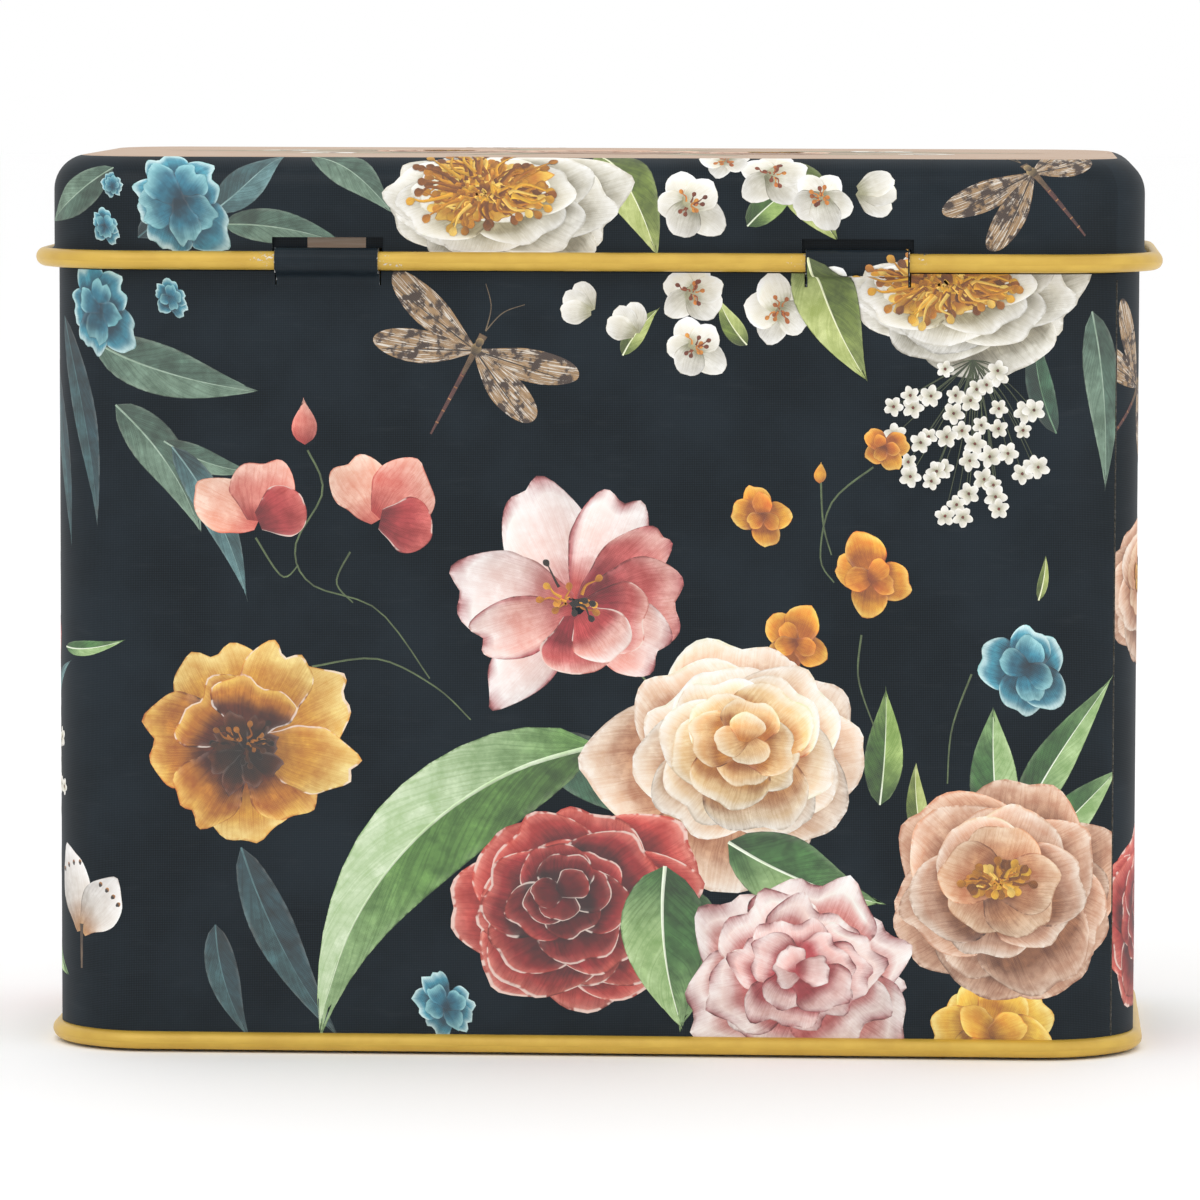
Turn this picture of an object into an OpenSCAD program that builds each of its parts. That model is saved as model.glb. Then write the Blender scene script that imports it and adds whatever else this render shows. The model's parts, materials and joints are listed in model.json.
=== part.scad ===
// Small hinged tin of printed tinplate: a deep drawn lid, a seamed body and a curled-on base.
// The body stands on the origin's plane, the hinge is at the back (-Y) and +Z is up.

/* [Body] */
// Outer width of the body wall, side to side
body_w = 79.3; // [60:0.1:120]
// Outer depth of the body wall, hinge side to front
body_d = 36; // [30:0.1:60]
// Outer radius of the body's upright corners
body_corner_r = 7.2; // [5:0.1:10]
// Height at which the wall starts to step in under the lid
shoulder_z = 57.0; // [50:0.1:57]
// How far the wall steps in, so that the lid's front swings clear of it
neck_step = 0.6; // [0.5:0.05:1]
// Top of the body's rim, inside the lid
rim_z = 63.2; // [62.5:0.1:63.5]

/* [Lid] */
// Height of the closed tin
lid_top_z = 65.3; // [65:0.1:67]
// Running gap between the body wall and the lid's skirt
lid_gap = 0.13; // [0.1:0.01:0.2]
// Outer radius of the edge between the lid's skirt and its top
lid_edge_r = 2.6; // [1.5:0.1:3]
// Height of the centre of the lid's curled edge
lid_curl_z = 57.8; // [57.5:0.1:58]
// Outer radius of the lid's curled edge
lid_curl_r = 0.68; // [0.6:0.01:0.75]

/* [Hinge] */
// Distance from the middle of the tin to the middle of each lug
lug_x = 19.2; // [14:0.1:24]
// Width of each lug
lug_w = 7.5; // [5:0.1:9]
// Height at which each lug is folded out of the body wall
lug_root_z = 56.0; // [55:0.1:56.2]
// How far round the curl each lug's tip reaches, from level on the outside
lug_wrap = 160; // [120:1:165]
// Running gap between the lug and the curl
lug_gap = 0.05; // [0.03:0.01:0.08]
// Width of each slot in the lid's skirt
slot_w = 8.1; // [7:0.1:10]
// Height of the open slot above the curl
slot_h = 1.0; // [0.8:0.1:1.4]

/* [Base] */
// Outer radius of the base's curled edge
base_curl_r = 0.67; // [0.6:0.01:0.75]
// Height of the base panel's underside
base_panel_z = 1.2; // [1.15:0.05:2]

/* [Sheet] */
// Thickness of the tinplate
sheet = 0.22; // [0.18:0.01:0.24]
// Width of the folded side seam
seam_w = 3.2; // [2:0.1:5]
// Place of the side seam round its corner, from the hinge side towards the right-hand end
seam_turn = 49; // [40:1:55]
// Height of the folded-in edge round the body's rim
hem_h = 1.6; // [1:0.1:1.8]

/* [Hidden] */
$fn = 48;

lid_out = lid_gap + sheet;                // lid skirt's outer face, outside the body wall
lid_w = body_w + 2 * lid_out;
lid_d = body_d + 2 * lid_out;
lid_corner_r = body_corner_r + lid_out;
curl_out = lid_curl_r - 0.01;             // curl's centre, outside the lid skirt
pin_out = lid_out + curl_out;             // curl's centre, outside the body wall
shoulder_rise = 0.7;                      // height over which the wall steps in
web_top = 0.7;                            // where the skirt starts to turn into its curl
base_curl_z = base_curl_r - 0.04;         // leaves a narrow flat for the tin to stand on
foot_z = base_curl_z - 0.14;              // bottom of the body wall, inside the base's curl
foot_hook = 0.26;                         // reach of the flange inside the base's curl
riser_out = 0.24;                         // gap from the wall's outer face to the base's riser
lug_in_r = lid_curl_r + lug_gap;
lug_out_r = lug_in_r + sheet;
lug_side_gap = 0.1;                       // between a lug and its window in the wall
lug_rise = lid_curl_z - lug_root_z;
// Radius of the bend that carries a lug from the wall into its loop round the curl.
root_bend_r = (pow(pin_out, 2) + pow(lug_rise, 2) - pow(lug_out_r, 2)) / (2 * (pin_out + lug_out_r));
root_turn = atan2(lug_rise, pin_out - root_bend_r);
window_h = 5.2;                           // length of wall that each lug is cut from
cut = 1;                                  // how far a cutting solid runs past a face

// Carries a flat profile round a rounded rectangle. In the profile, x is the distance outside
// the outline and y is the height.
module around(w, d, r) {
    for (turn = [0, 180]) {
        rotate([0, 0, turn]) {
            translate([w / 2, d / 2 - r, 0])
                rotate([90, 0, 0])
                    linear_extrude(height = d - 2 * r) children();
            translate([w / 2 - r, d / 2 - r, 0])
                rotate_extrude(angle = 90) translate([r, 0]) children();
            translate([-(w / 2 - r), d / 2, 0])
                rotate([90, 0, 90])
                    linear_extrude(height = w - 2 * r) children();
            translate([-(w / 2 - r), d / 2 - r, 0])
                rotate([0, 0, 90])
                    rotate_extrude(angle = 90) translate([r, 0]) children();
        }
    }
}

// A flat sheet with rounded corners, standing on z = 0.
module plate(w, d, r, t) {
    translate([-(w / 2 - r), -d / 2, 0]) cube([w - 2 * r, d, t]);
    for (turn = [0, 180]) {
        rotate([0, 0, turn]) {
            translate([w / 2 - r, -(d / 2 - r), 0]) cube([r, d - 2 * r, t]);
            translate([w / 2 - r, d / 2 - r, 0])
                rotate_extrude(angle = 90) square([r, t]);
            translate([w / 2 - r, -(d / 2 - r), 0])
                rotate([0, 0, -90]) rotate_extrude(angle = 90) square([r, t]);
        }
    }
}

// The section of a sheet rolled into a tube.
module rolled(r) {
    difference() {
        circle(r);
        circle(r - sheet);
    }
}

// Turns a section of (distance outside the back wall, height) to face -Y, centred on x.
module at_back(x) {
    translate([x, -body_d / 2, 0]) rotate([90, 0, -90]) children();
}

// A strip of sheet bent about the local z axis, from one angle to another.
module bent_strip(r_in, from, to) {
    rotate([0, 0, from])
        rotate_extrude(angle = to - from)
            translate([r_in, -lug_w / 2]) square([sheet, lug_w]);
}

module lid_skirt_section() {
    edge_z = lid_top_z - lid_edge_r;
    translate([-sheet, lid_curl_z + web_top]) square([sheet, edge_z - lid_curl_z - web_top]);
    difference() {
        polygon([
            [-sheet, lid_curl_z + web_top], [0, lid_curl_z + web_top],
            [curl_out / 2, lid_curl_z + lid_curl_r / 2], [curl_out / 2, lid_curl_z - lid_curl_r / 8],
            [-sheet, lid_curl_z + lid_curl_r / 4]
        ]);
        translate([curl_out, lid_curl_z]) circle(lid_curl_r);
    }
    translate([-lid_edge_r, edge_z]) intersection() {
        difference() {
            circle(lid_edge_r);
            circle(lid_edge_r - sheet);
        }
        square(lid_edge_r + cut);
    }
}

module lid_shell() {
    color("darkslategray") {
        difference() {
            union() {
                around(lid_w, lid_d, lid_corner_r) lid_skirt_section();
                translate([0, 0, lid_top_z - sheet])
                    plate(lid_w - 2 * lid_edge_r, lid_d - 2 * lid_edge_r, lid_corner_r - lid_edge_r, sheet);
            }
            for (x = [-lug_x, lug_x]) {
                translate([x - slot_w / 2, -lid_d / 2 - cut, lid_curl_z - lid_curl_r])
                    cube([slot_w, cut + 2 * sheet, 2 * lid_curl_r + slot_h]);
            }
        }
    }
}

module lid_curl() {
    color("goldenrod")
        around(lid_w, lid_d, lid_corner_r)
            translate([curl_out, lid_curl_z]) rolled(lid_curl_r);
}

module body_wall() {
    neck_z = shoulder_z + shoulder_rise;
    color("darkslategray") {
        difference() {
            around(body_w, body_d, body_corner_r)
                polygon([
                    [-sheet, foot_z], [0, foot_z], [0, shoulder_z], [-neck_step, neck_z],
                    [-neck_step, rim_z], [-neck_step - sheet, rim_z],
                    [-neck_step - sheet, neck_z], [-sheet, shoulder_z]
                ]);
            for (x = [-lug_x, lug_x]) {
                translate([x - lug_w / 2 - lug_side_gap, -body_d / 2 - cut, lug_root_z])
                    cube([lug_w + 2 * lug_side_gap, 2 * cut, window_h]);
            }
        }
    }
}

module body_rim_hem() {
    color("goldenrod")
        around(body_w, body_d, body_corner_r)
            translate([-neck_step - 2 * sheet, rim_z - hem_h]) square([sheet, hem_h]);
}

module side_seam() {
    seam_r = body_corner_r - sheet;
    bottom = base_panel_z + 2 * sheet;
    color("goldenrod")
        translate([body_w / 2 - body_corner_r, -(body_d / 2 - body_corner_r), bottom])
            rotate([0, 0, seam_turn - 90])
                rotate_extrude(angle = seam_w / seam_r * 180 / PI)
                    translate([seam_r - 2 * sheet, 0])
                        square([2 * sheet, shoulder_z - 2 * sheet - bottom]);
}

module body_foot_flange() {
    color("silver")
        around(body_w, body_d, body_corner_r)
            translate([0, foot_z]) square([foot_hook, sheet]);
}

module hinge_lug(x) {
    color("darkslategray") {
        at_back(x) {
            translate([root_bend_r, lug_root_z, 0]) bent_strip(root_bend_r, root_turn, 180);
            translate([pin_out, lid_curl_z, 0]) bent_strip(lug_in_r, root_turn - 180, lug_wrap);
        }
    }
}

module hinge_lug_left() {
    hinge_lug(-lug_x);
}

module hinge_lug_right() {
    hinge_lug(lug_x);
}

module base_panel() {
    inset = riser_out + sheet;
    color("goldenrod") {
        around(body_w, body_d, body_corner_r)
            difference() {
                translate([-inset, base_curl_z]) square([sheet, base_panel_z + sheet - base_curl_z]);
                translate([0, base_curl_z]) circle(base_curl_r);
            }
        translate([0, 0, base_panel_z])
            plate(body_w - 2 * inset, body_d - 2 * inset, body_corner_r - inset, sheet);
    }
}

module base_curl() {
    color("goldenrod")
        around(body_w, body_d, body_corner_r)
            difference() {
                translate([0, base_curl_z]) rolled(base_curl_r);
                translate([-sheet, base_curl_z]) square([sheet, base_curl_r + cut]);
                translate([-base_curl_r, -cut]) square([2 * base_curl_r, cut]);
            }
}

lid_shell();
lid_curl();
body_wall();
body_rim_hem();
side_seam();
body_foot_flange();
hinge_lug_left();
hinge_lug_right();
base_panel();
base_curl();
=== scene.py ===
import json
import math
import bmesh
import bpy
import numpy as np
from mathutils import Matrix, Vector


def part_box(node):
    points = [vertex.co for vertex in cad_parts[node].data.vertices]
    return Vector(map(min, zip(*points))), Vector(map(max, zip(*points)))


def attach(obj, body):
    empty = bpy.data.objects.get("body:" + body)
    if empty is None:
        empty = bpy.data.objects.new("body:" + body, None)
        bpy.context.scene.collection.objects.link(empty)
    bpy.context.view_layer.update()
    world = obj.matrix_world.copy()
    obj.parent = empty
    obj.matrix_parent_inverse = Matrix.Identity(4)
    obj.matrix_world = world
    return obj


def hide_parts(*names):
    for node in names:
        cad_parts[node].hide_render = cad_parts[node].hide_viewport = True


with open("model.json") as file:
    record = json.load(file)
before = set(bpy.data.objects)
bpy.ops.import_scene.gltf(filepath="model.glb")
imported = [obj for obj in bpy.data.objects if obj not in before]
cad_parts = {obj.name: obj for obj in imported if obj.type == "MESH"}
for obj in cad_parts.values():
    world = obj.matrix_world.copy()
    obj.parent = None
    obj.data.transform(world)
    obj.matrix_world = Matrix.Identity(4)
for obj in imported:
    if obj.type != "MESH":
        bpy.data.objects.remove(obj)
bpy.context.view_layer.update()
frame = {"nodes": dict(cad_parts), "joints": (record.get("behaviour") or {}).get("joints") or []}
mm = 0.001
print("frame loaded")


# sizes, in millimetres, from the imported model
def span(node):
    low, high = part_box(node)
    return np.array(low) / mm, np.array(high) / mm


wallLow, wallHigh = span("body_wall")
lidHigh = span("lid_shell")[1]
lidCurlLow, lidCurlHigh = span("lid_curl")
baseCurlHigh = span("base_curl")[1]
hemLow, hemHigh = span("body_rim_hem")
seamLow, seamHigh = span("side_seam")
panelHigh = span("base_panel")[1]
lugRightLow, lugRightHigh = span("hinge_lug_right")
hinge = np.array(frame["joints"][0]["pos_m"]) / mm
sheetThick = 0.22

tin = {
    "halfWide": wallHigh[0],
    "halfDeep": wallHigh[1],
    "cornerRadius": 7.2,
    "cornerFacets": 24,
    "shoulder": 57.0,
    "neckTop": 57.7,
    "neckStep": 0.6,
    "rim": wallHigh[2],
    "seamTurn": math.radians(49),
}
lid = {
    "curlRadius": (lidCurlHigh[2] - lidCurlLow[2]) / 2,
    "curlOut": 0.67,
    "edgeRadius": 2.6,
    "edgeFacets": 12,
    "top": lidHigh[2],
    "paleFrom": 0.86,  # share of the rounded edge that the dark print covers
    "slotWide": 8.1,
    "slotTop": 1.0,
}
lid["halfWide"] = lidCurlHigh[0] - lid["curlOut"] - lid["curlRadius"]
lid["halfDeep"] = lidCurlHigh[1] - lid["curlOut"] - lid["curlRadius"]
lid["cornerRadius"] = tin["cornerRadius"] + lid["halfWide"] - tin["halfWide"]
lid["curlZ"] = hinge[2]
base = {"curlRadius": baseCurlHigh[0] - tin["halfWide"], "curlZ": 0.63}
lug = {
    "centre": (lugRightHigh[0] + lugRightLow[0]) / 2,
    "wide": lugRightHigh[0] - lugRightLow[0],
    "root": lugRightLow[2],
    "gap": 0.05,
    "wrap": math.radians(160),
    "windowTop": 58.7,
}


class Outline:
    # a rounded rectangle walked anticlockwise from the middle of the hinge side, as flat facets that every
    # sheet and every printed shape share, so that layers lying on each other stay parallel
    def __init__(self, halfWide, halfDeep, radius, facets):
        self.flatX, self.flatY, self.radius = halfWide - radius, halfDeep - radius, radius
        self.length = 4 * (self.flatX + self.flatY) + 2 * math.pi * radius
        arc = math.pi * radius / 2
        at, points, normals, self.bends = 0.0, [], [], []
        centres = [(1, -1), (1, 1), (-1, 1), (-1, -1)]
        sides = [2 * self.flatY, 2 * self.flatX, 2 * self.flatY, self.flatX]
        steps = [(0.0, (0.0, -halfDeep), (0.0, -1.0))]
        at = self.flatX
        for quarter, (sx, sy) in enumerate(centres):
            self.bends.append((at, at + arc))
            for k in range(facets + 1):
                angle = math.pi / 2 * (quarter - 1 + k / facets)
                normal = (math.cos(angle), math.sin(angle))
                place = (sx * self.flatX + radius * normal[0], sy * self.flatY + radius * normal[1])
                steps.append((at + arc * k / facets, place, normal))
            at += arc + sides[quarter]
        steps.append((self.length, (0.0, -halfDeep), (0.0, -1.0)))
        table = np.array([[s, p[0], p[1], n[0], n[1]] for s, p, n in steps])
        left, right = table.copy(), table.copy()
        left[:, 0] -= self.length
        right[:, 0] += self.length
        self.table = np.concatenate([left[:-1], table[:-1], right])

    def at(self, s):
        return [np.interp(s, self.table[:, 0], self.table[:, i]) for i in range(1, 5)]

    def lines(self, low, high):
        stops = self.table[:, 0]
        return [float(s) for s in stops if low + 1e-6 < s < high - 1e-6]


wallLine = Outline(tin["halfWide"], tin["halfDeep"], tin["cornerRadius"], tin["cornerFacets"])
lidLine = Outline(lid["halfWide"], lid["halfDeep"], lid["cornerRadius"], tin["cornerFacets"])
seamAt = tin["halfWide"] - tin["cornerRadius"] + tin["cornerRadius"] * tin["seamTurn"]


# section tables: (length along the sheet, distance outside the outline, height, normal out, normal up)
def lugSection():
    out = lid["halfDeep"] + lid["curlOut"] - tin["halfDeep"]
    outer = lid["curlRadius"] + lug["gap"] + sheetThick
    rise = lid["curlZ"] - lug["root"]
    bend = (out ** 2 + rise ** 2 - outer ** 2) / (2 * (out + outer))
    turn = math.atan2(rise, out - bend)
    rows, steps, at = [], 14, lug["root"]
    for k in range(steps + 1):
        angle = math.pi + (turn - math.pi) * k / steps
        c, s = math.cos(angle), math.sin(angle)
        rows.append((at + bend * (math.pi - angle), bend + bend * c, lug["root"] + bend * s, -c, -s))
    at = rows[-1][0]
    steps = 34
    for k in range(1, steps + 1):
        angle = turn - math.pi + (lug["wrap"] - turn + math.pi) * k / steps
        c, s = math.cos(angle), math.sin(angle)
        rows.append((at + outer * (angle - turn + math.pi), out + outer * c, lid["curlZ"] + outer * s, c,
                     s))
    return np.array(rows)


def wallSection():
    step, rise = tin["neckStep"], tin["neckTop"] - tin["shoulder"]
    slope = math.hypot(step, rise)
    rows = [(0.0, 0, 0, 1, 0), (tin["shoulder"], 0, tin["shoulder"], 1, 0)]
    rows += [(tin["shoulder"] + 0.05, -0.03, tin["shoulder"] + 0.05, rise / slope, step / slope)]
    rows += [(tin["neckTop"] - 0.05, -step + 0.03, tin["neckTop"] - 0.05, rise / slope, step / slope)]
    rows += [(tin["neckTop"], -step, tin["neckTop"], 1, 0), (tin["rim"], -step, tin["rim"], 1, 0)]
    return np.array(rows, float)


def lidSection():
    z, r, edge = lid["curlZ"], lid["edgeRadius"], lid["top"] - lid["edgeRadius"]
    rows = [(z + 0.2, 0.34, z + 0.45, 0.8, 0.6), (z + 0.45, 0.12, z + 0.62, 0.75, 0.66)]
    rows += [(z + 0.8, 0.0, z + 0.8, 1, 0), (edge, 0.0, edge, 1, 0)]
    for k in range(1, lid["edgeFacets"] + 1):
        angle = math.pi / 2 * k / lid["edgeFacets"]
        c, s = math.cos(angle), math.sin(angle)
        rows.append((edge + r * angle, -r * (1 - c), edge + r * s, c, s))
    return np.array(rows, float)


sections = {"wall": wallSection(), "lid": lidSection(), "lug": lugSection()}
edgeAt = lid["top"] - lid["edgeRadius"]
edgeArc = lid["edgeRadius"] * math.pi / 2


def onSheet(s, t, h, line, section):
    x, y, nx, ny = line.at(s)
    out, z, nOut, nUp = [np.interp(t, section[:, 0], section[:, i]) for i in range(1, 5)]
    size = np.sqrt(nx ** 2 + ny ** 2)
    place = np.stack([x + nx * out, y + ny * out, z], -1)
    across = np.stack([nx * nOut, ny * nOut, nUp], -1)
    smooth = np.stack([nx / size * nOut, ny / size * nOut, nUp], -1)
    return place + across * h[..., None], smooth


def plainWall(s, t, h):
    return onSheet(s, t, h, wallLine, sections["wall"])


def wallMap(s, t, h):
    place, normal = plainWall(s, t, h)
    for side in (-1, 1):
        onLug = (np.abs(s - side * lug["centre"]) < lug["wide"] / 2 + 0.001) & (t > lug["root"] - 0.001)
        if onLug.any():
            place[onLug], normal[onLug] = onSheet(s[onLug], t[onLug], h[onLug], wallLine, sections["lug"])
    return place, normal


def lidMap(s, t, h):
    return onSheet(s, t, h, lidLine, sections["lid"])


def topMap(s, t, h):
    flat = np.zeros_like(s)
    return np.stack([s, t, flat + lid["top"] + h], -1), np.stack([flat, flat, flat + 1], -1)


# mesh helpers
def newObject(name, points, faces, body, materials, normals=None, fields=None, smooth=True):
    mesh = bpy.data.meshes.new(name)
    mesh.from_pydata([tuple(p) for p in np.asarray(points) * mm], [],
                     [tuple(int(i) for i in f) for f in faces])
    for key, (kind, values) in (fields or {}).items():
        layer = mesh.attributes.new(key, kind, "POINT")
        layer.data.foreach_set("color" if kind == "FLOAT_COLOR" else "vector",
                               np.asarray(values, np.float32).ravel())
    mesh.polygons.foreach_set("use_smooth", [smooth] * len(mesh.polygons))
    if normals is not None:
        mesh.normals_split_custom_set_from_vertices([tuple(n) for n in normals])
    mesh.update()
    piece = bpy.data.objects.new(name, mesh)
    bpy.context.scene.collection.objects.link(piece)
    for material in materials:
        mesh.materials.append(material)
    if body:
        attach(piece, body)
    return piece


def spread(stops, biggest):
    # the same stops, with even ones between them where they lie far apart
    out = [stops[0]]
    for a, b in zip(stops, stops[1:]):
        count = max(1, math.ceil((b - a) / biggest))
        out += [a + (b - a) * k / count for k in range(1, count + 1)]
    return out


# materials
class Wire:
    # a socket that adds its own Math node when it is used in an expression
    def __init__(self, paint, socket):
        self.paint, self.socket = paint, socket

    def math(self, operation, a, b=0.0):
        return self.paint.node("ShaderNodeMath", {"operation": operation}, {0: a, 1: b})

    def __add__(self, other):
        return self.math("ADD", self, other)

    def __sub__(self, other):
        return self.math("SUBTRACT", self, other)

    def __rsub__(self, other):
        return self.math("SUBTRACT", other, self)

    def __mul__(self, other):
        return self.math("MULTIPLY", self, other)

    def __pow__(self, other):
        return self.math("POWER", self, other)

    def __abs__(self):
        return self.math("ABSOLUTE", self)

    __radd__, __rmul__ = __add__, __mul__

    def sine(self):
        return self.math("SINE", self)

    def ease(self, low, high):
        ends = {0: self, 1: low, 2: high, 3: 0.0, 4: 1.0}
        return self.paint.node("ShaderNodeMapRange", {"interpolation_type": "SMOOTHSTEP"}, ends)


class Paint:
    # one material: its constants go straight on the shader, what varies is fed in by name
    def __init__(self, name, constants):
        self.material = bpy.data.materials.new(name)
        self.material.use_nodes = True
        self.tree = self.material.node_tree
        self.shader = self.tree.nodes["Principled BSDF"]
        for key, value in constants.items():
            self.shader.inputs[key].default_value = value

    def node(self, kind, settings, inputs, output=0):
        made = self.tree.nodes.new(kind)
        for key, value in settings.items():
            setattr(made, key, value)
        for key, value in inputs.items():
            self.feed(made.inputs[key], value)
        return Wire(self, made.outputs[output])

    def feed(self, socket, value):
        if isinstance(value, Wire):
            self.tree.links.new(value.socket, socket)
        else:
            socket.default_value = value

    def drive(self, **sockets):
        for key, value in sockets.items():
            self.feed(self.shader.inputs[key.replace("_", " ")], value)

    def field(self, name, output="Vector"):
        return self.node("ShaderNodeAttribute", {"attribute_name": name}, {}, output)

    def parts(self, vector):
        split = self.node("ShaderNodeSeparateXYZ", {}, {0: vector}).socket.node
        return [Wire(self, socket) for socket in split.outputs]

    def join(self, x, y, z):
        return self.node("ShaderNodeCombineXYZ", {}, {0: x, 1: y, 2: z})

    def noise(self, vector, scale, detail=3.0, rough=0.55):
        inputs = {"Vector": vector, "Scale": scale, "Detail": detail, "Roughness": rough}
        return self.node("ShaderNodeTexNoise", {}, inputs)

    def mix(self, factor, a, b, blend="MIX"):
        settings = {"data_type": "RGBA", "blend_type": blend}
        return self.node("ShaderNodeMix", settings, {0: factor, 6: a, 7: b}, 2)

    def bump(self, height, depth, strength):
        inputs = {"Height": height, "Distance": depth * mm, "Strength": strength}
        self.drive(Normal=self.node("ShaderNodeBump", {}, inputs))


def ink(code, strength=1.0):
    # a printer's colour, written the usual way, as linear light
    values = [int(code[i:i + 2], 16) / 255 for i in (1, 3, 5)]
    linear = [v / 12.92 if v < 0.04045 else ((v + 0.055) / 1.055) ** 2.4 for v in values]
    return tuple(strength * v for v in linear) + (1.0,)


varnish = {"rough": 0.40, "screen": 0.183, "peel": 0.010}
varnishLayer = {"Coat Weight": 0.26, "Coat Roughness": 0.3, "Specular IOR Level": 0.0}


def halftone(s, t, angle):
    # rows of print dots at the press screen's pitch
    turn, pitch = math.radians(angle), 2 * math.pi / varnish["screen"]
    across = s * (math.cos(turn) * pitch) + t * (math.sin(turn) * pitch)
    up = t * (math.cos(turn) * pitch) - s * (math.sin(turn) * pitch)
    return across.sine() * up.sine()


def varnished(paint, s, t, place):
    # the satin varnish over all printing: slight orange peel, faint rubs
    peel = paint.noise(place, 2.6, 2.0)
    rubs = paint.noise(paint.join(s * 0.25, t * 1.2, 3.0), 1.0, 4.0).ease(0.56, 0.80)
    cloud = paint.noise(place, 0.22, 3.0)
    paint.drive(Roughness=varnish["rough"] - 0.05 + cloud * 0.12 + rubs * 0.05)
    paint.bump(peel * 0.6 + paint.noise(place, 14.0, 1.0) * 0.25, varnish["peel"], 0.55)
    return rubs


def slateInk():
    look = {"deep": ink("#14191d"), "lift": ink("#1d242a"), "dot": ink("#35434c")}
    paint = Paint("slateGroundInk", varnishLayer)
    place = paint.field("sheet")
    s, t, rim = paint.parts(place)
    rubs = varnished(paint, s, t, place)
    cloud = paint.noise(place, 0.12, 4.0)
    ground = paint.mix(cloud.ease(0.35, 0.7), look["deep"], look["lift"])
    dots = (halftone(s, t, 45) * 0.5 + 0.5) ** 3.0
    grain = paint.noise(place, 9.0, 2.0)
    ground = paint.mix(dots * (grain * 0.6 + 0.25), ground, look["dot"])
    ground = paint.mix(rubs * 0.02, ground, ink("#8a8f92"))
    chipped = (paint.noise(place, 2.2, 5.0, 0.7) - rim * 1.2).ease(0.51, 0.56)
    ground = paint.mix(chipped, ground, ink("#c3c4c2"))
    paint.drive(Base_Color=ground)
    return paint.material


def flowerInk():
    paint = Paint("flowerInk", varnishLayer)
    place = paint.field("sheet")
    s, t, rim = paint.parts(place)
    vein, along, seed = paint.parts(paint.field("detail"))
    varnished(paint, s, t, place)
    colour = paint.field("ink", "Color")
    mottle = 1.0 - paint.field("ink", "Alpha")
    drift = paint.noise(paint.join(vein * 0.09, along * 1.6, seed * 7.0), 2.2, 3.0)
    threads = paint.noise(paint.join(vein + drift * 1.6, along * 0.7, seed * 13.0), 1.0, 3.0, 0.6)
    lines = 1.0 - abs(threads - 0.5).ease(0.0, 0.07)
    wash = paint.noise(paint.join(s, t, seed * 5.0), 0.65, 6.0, 0.66)
    deeper = paint.mix(1.0, colour, colour, "MULTIPLY")
    colour = paint.mix(lines * 0.40, colour, deeper)
    colour = paint.mix(wash.ease(0.44, 0.66) * 0.55, colour, deeper)
    brighter = paint.mix(1.0, colour, colour, "SCREEN")
    colour = paint.mix((1.0 - wash).ease(0.52, 0.70) * 0.6, colour, brighter)
    ragged = paint.noise(paint.join(s, t, 2.0), 3.2, 3.0)
    edge = 1.0 - rim.ease(0.0, 0.24)
    broad = paint.noise(paint.join(s, t, 2.0), 0.8, 2.0)
    colour = paint.mix(edge * broad.ease(0.38, 0.60) * 0.35, colour,
                       paint.mix(0.16, brighter, ink("#fff6ea")))
    pool = (1.0 - rim.ease(0.0, 0.05)) * (1.0 - broad * ragged * 2.0).ease(0.30, 0.60)
    colour = paint.mix(pool * 0.8, colour, paint.mix(1.0, colour, deeper, "MULTIPLY"))
    lit = (1.0 - rim.ease(0.025, 0.05)) * broad.ease(0.44, 0.52) * seed.ease(15.0, 16.0)
    colour = paint.mix(lit * 0.65, colour, ink("#f3e2d6"))
    cells = paint.noise(paint.join(s, t, seed * 3.0), 1.15, 3.0, 0.6)
    patches = paint.mix(cells.ease(0.42, 0.56), ink("#3d2b20"), ink("#a5845c"))
    flecks = paint.noise(paint.join(vein * 0.5, along * 2.0, seed), 2.0, 3.0).ease(0.54, 0.60)
    patches = paint.mix(flecks * cells.ease(0.40, 0.50), patches, ink("#e6ddd0"))
    patches = paint.mix(lines * 0.4, patches, ink("#3a2a20"))
    colour = paint.mix(mottle, colour, patches)
    dots = halftone(s, t, 15) * 0.10 + halftone(s, t, 75) * 0.08
    colour = paint.mix(0.5 + dots, paint.mix(0.14, colour, ink("#101417")),
                       paint.mix(0.10, colour, ink("#ffffff")))
    paint.drive(Base_Color=colour)
    return paint.material


def paleInk():
    paint = Paint("paleTopInk", varnishLayer)
    place = paint.field("sheet")
    s, t = paint.parts(place)[:2]
    varnished(paint, s, t, place)
    streaks = paint.noise(paint.join(s * 0.12, t * 2.4, 0.0), 1.2, 4.0, 0.6)
    colour = paint.mix(streaks.ease(0.35, 0.68), ink("#b99f8a"), ink("#c6b29f"))
    colour = paint.mix(paint.noise(place, 0.35, 4.0).ease(0.5, 0.75) * 0.35, colour, ink("#b58f76"))
    dots = halftone(s, t, 15)
    colour = paint.mix(0.5 + dots * 0.2, paint.mix(0.10, colour, ink("#8d6f5c")), colour)
    paint.drive(Base_Color=colour)
    return paint.material


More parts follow.
